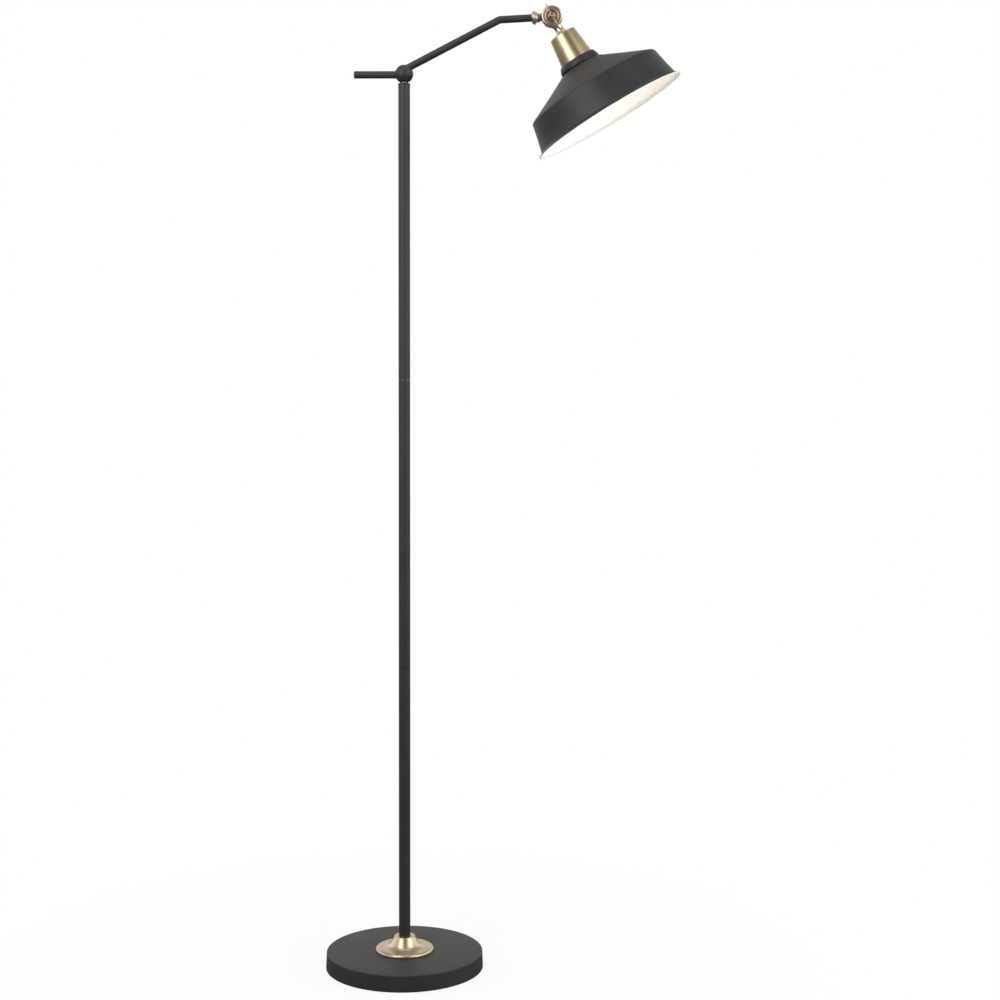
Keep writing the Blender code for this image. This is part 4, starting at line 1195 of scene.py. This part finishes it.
shade = draw_out(
    "shade_spun",
    [
        (SHADE_HOLE, -SHADE_TOP),
        (0.0326, -SHADE_TOP),
        (0.0335, -SHADE_TOP - 0.0002),
        (0.0345, -SHADE_TOP - 0.0006),
        (0.0358, -SHADE_TOP - 0.0013),
        (0.0375, -SHADE_TOP - 0.0022),
        (0.0400, -SHADE_TOP - (0.0400 - CROWN_RADIUS) * tan(cone_slope)),
        (0.0700, -SHADE_TOP - (0.0700 - CROWN_RADIUS) * tan(cone_slope)),
    ]
    + arc(shoulder_radius, shoulder_height, SHOULDER_ROUND, round_from, round_to, 9)
    + [
        (0.1160, -0.1540),
        (0.1204, -SKIRT_END + 0.0010),
        (0.1209, -SKIRT_END - 0.0002),
        (0.1217, -SKIRT_END - 0.0014),
        (0.1230, -SKIRT_END - 0.0026),
        (0.1246, -SKIRT_END - 0.0037),
        (ROLL_CENTRE, -SKIRT_END - 0.0047),
    ]
    + arc(ROLL_CENTRE, SHADE_ROLL, ROLL_RADIUS, 40, -90, 7),
    224,
    "open",
)
# White enamel for the shade's inside. Its emission is a painted glow, and its colour grows warmer
# towards the side away from the pole as painted warm light from the bulb.
enamel, tree = new_material("white_enamel_painted_glow_and_warmth")
PAINTED_WARMTH_FROM = 0.30
PAINTED_WARMTH_TO = 0.46
spot = wire(tree, "ShaderNodeTexCoord").outputs["Object"]
skin = wire(tree, "ShaderNodeGroup", node_tree=powder_skin)
tree.links.new(spot, skin.inputs["Spot"])
skin.inputs["Pebble Scale"].default_value = 900.0
across, _, _ = wire(tree, "ShaderNodeSeparateXYZ", {0: spot}).outputs
# Painted warm light: the colour turns warmer across this band of X, on the side away from the pole.
painted_bulb_warmth = step_between(tree, across, PAINTED_WARMTH_FROM, PAINTED_WARMTH_TO)
finish_surface(
    tree,
    {
        "Base Color": mixed(tree, painted_bulb_warmth, (0.95, 0.93, 0.89), (0.93, 0.87, 0.78)),
        "Roughness": step_between(tree, skin.outputs["Drift"], 0.3, 0.7, 0.34, 0.46),
        # Painted glow: the enamel gives off a faint light of its own.
        "Emission Color": (1.0, 0.955, 0.89, 1),
        "Emission Strength": 0.33,
    },
    skin.outputs["Pebbles"],
    0.00001,
    0.3,
)
shade.data.materials.append(shade_black_painted_shade)
shade.data.materials.append(enamel)
finish_with(
    shade,
    "SOLIDIFY",
    thickness=SHADE_WALL,
    offset=-1,
    use_even_offset=True,
    material_offset=1,
    material_offset_rim=1,
)
for face in shade.data.polygons:
    if face.center.z < SHADE_ROLL:
        face.material_index = 1
shade_rounds(shade)
set_in_place(shade, knuckle, along_head)
hand_over(shade, None, "head", "black_paint", "shade")

# ------------------------------------------------------------------ lampholder and shade ring
# Moulded E27 lampholder with a threaded nose, and the moulded ring that clamps the shade on it.

HOLDER_RADIUS = 0.0195
SHELL_INSIDE = 0.0158
SHELL_OUTSIDE = 0.0168
SHELL_GROOVE = 0.0003
SHELL_STEP = 0.0009
holder = draw_out(
    "lampholder_moulded",
    [(0.0053, -0.0400), (0.0112, -0.0400), (0.0120, -0.0402), (0.0158, -0.0428), (0.0163, -0.0436)]
    + [(0.0172, -0.0496), (0.0176, -0.0504), (0.0188, -0.0516), (0.0190, -0.0524)]
    + [(HOLDER_RADIUS, -0.0817)]
    + [(HOLDER_RADIUS, -0.0938), (HOLDER_RADIUS - 0.0004, -0.0942), (0.0176, -0.0942)]
    + [(0.0172, -0.0938), (0.0172, -0.0560), (0.0053, -0.0500)],
    96,
)
shade_rounds(holder)
set_in_place(holder, knuckle, along_head)
hand_over(holder, nylon, "head", "black_plastic", "lampholder_body")

ring = draw_out(
    "shade_ring_moulded",
    [(0.0198, -0.0902), (0.0278, -0.0902), (0.0284, -0.0906), (0.0285, -0.0916), (0.0282, -0.0926)]
    + [(0.0232, -0.0932), (0.0226, -0.0938), (0.0221, -0.0984), (0.0217, -0.0988), (0.0198, -0.0988)],
    120,
)
shade_rounds(ring)
set_in_place(ring, knuckle, along_head)
hand_over(ring, nylon, "head", "black_plastic", "shade_ring")

shell = draw_out(
    "lampholder_shell_screwed",
    [(SHELL_INSIDE, -0.0611), (SHELL_OUTSIDE, -0.0611)]
    + [(SHELL_OUTSIDE - SHELL_GROOVE * (i % 2), -0.0622 - SHELL_STEP * i) for i in range(20)]
    + [(SHELL_OUTSIDE, -0.0811), (SHELL_INSIDE, -0.0811)]
    + [(SHELL_INSIDE - SHELL_GROOVE * (i % 2), -0.0793 + SHELL_STEP * i) for i in range(20)],
    72,
)
shade_rounds(shell, 40)
set_in_place(shell, knuckle, along_head)
hand_over(shell, coupling_brass, "head", "antique_brass", "lampholder_shell")

# ------------------------------------------------------------------ bulb
# Opal glass bulb, warm and faintly alight, with a screwed cap.

opal, tree = new_material("opal_glass")
spot = wire(tree, "ShaderNodeTexCoord").outputs["Object"]
milk = noise(tree, spot, 55.0, 3.0)
finish_surface(
    tree,
    {
        "Base Color": mixed(tree, milk, (0.92, 0.87, 0.76), (0.96, 0.93, 0.86)),
        "Roughness": step_between(tree, milk, 0.3, 0.7, 0.16, 0.26),
        "Emission Color": mixed(tree, milk, (1.0, 0.92, 0.82), (1.0, 0.96, 0.89)),
        "Emission Strength": 2.8,
        "Coat Weight": 0.3,
    },
    milk,
    0.00003,
    0.2,
)
BULB_NECK = 0.0132
BULB_RADIUS = 0.0300
BULB_TIP = 0.1702
BULB_GLASS = 0.0010
bulb_middle = -BULB_TIP + BULB_RADIUS
glass = draw_out(
    "bulb_glass_blown",
    [
        (BULB_NECK, -0.0868),
        (BULB_NECK + 0.0002, -0.0930),
        (BULB_NECK + 0.0010, -0.0985),
        (0.0162, -0.1050),
        (0.0190, -0.1110),
        (0.0223, -0.1180),
        (0.0252, -0.1245),
        (0.0276, -0.1305),
    ]
    + arc(0, bulb_middle, BULB_RADIUS, 12, -84, 13)
    + [(0, -BULB_TIP)],
    96,
    "open",
)
finish_with(glass, "SOLIDIFY", thickness=BULB_GLASS, offset=-1)
shade_rounds(glass)
set_in_place(glass, knuckle, along_head)
hand_over(glass, opal, "head", "opal_glass", "bulb_glass")

CAP_THREAD = 0.0143
THREAD_DEPTH = 0.0004
THREAD_STEP = 0.0010
cap_threads = []
for i in range(15):
    deep = THREAD_DEPTH if i % 2 else 0.0
    cap_threads.append((CAP_THREAD - deep, -0.0700 - THREAD_STEP * i))
bulb_cap = draw_out(
    "bulb_cap_screwed",
    [(0.0104, -0.0664), (0.0122, -0.0668), (0.0138, -0.0682)]
    + cap_threads
    + [(0.0141, -0.0860), (0.0141, -0.0938), (0.0138, -0.0940), (0.0138, -0.0864), (0.0124, -0.0850)]
    + [(0.0124, -0.0700), (0.0104, -0.0676)],
    72,
)
shade_rounds(bulb_cap, 40)
set_in_place(bulb_cap, knuckle, along_head)
hand_over(bulb_cap, steel, "head", "plated_steel", "bulb_cap")

# ------------------------------------------------------------------ inner pieces
# What the covers hide stays as designed: the cast weight, fixings, couplers, leads and contacts.

cast_iron, tree = new_material("cast_iron")
spot = wire(tree, "ShaderNodeTexCoord").outputs["Object"]
sand = noise(tree, spot, 700.0, 4.0, 0.65)
rust = step_between(tree, noise(tree, spot, 35.0, 4.0, 0.6), 0.5, 0.75)
finish_surface(
    tree,
    {
        "Base Color": mixed(tree, rust, (0.055, 0.053, 0.052), (0.115, 0.070, 0.045)),
        "Metallic": 0.6,
        "Roughness": step_between(tree, sand, 0.3, 0.7, 0.62, 0.86),
    },
    sand,
    0.0004,
    0.7,
)

INNER_FINISHES = [
    (cast_iron, ["base_weight"]),
    (
        steel,
        ["plate_screw_1", "plate_screw_2", "plate_screw_3", "base_nipple", "base_washer", "base_nut"]
        + ["pole_foot_plug", "pole_coupler_1", "pole_coupler_2", "swivel_stem", "swivel_spring_washer"]
        + ["swivel_nut", "head_nipple", "head_nut"],
    ),
    (rubber, ["pole_lead", "arm_lead", "head_lead"]),
    (nylon, ["bulb_contact"]),
    (coupling_brass, ["lampholder_contact"]),
]
for material, nodes in INNER_FINISHES:
    for node in nodes:
        inner = frame["nodes"][node]
        for slot in inner.material_slots:
            slot.material = material

low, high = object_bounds()
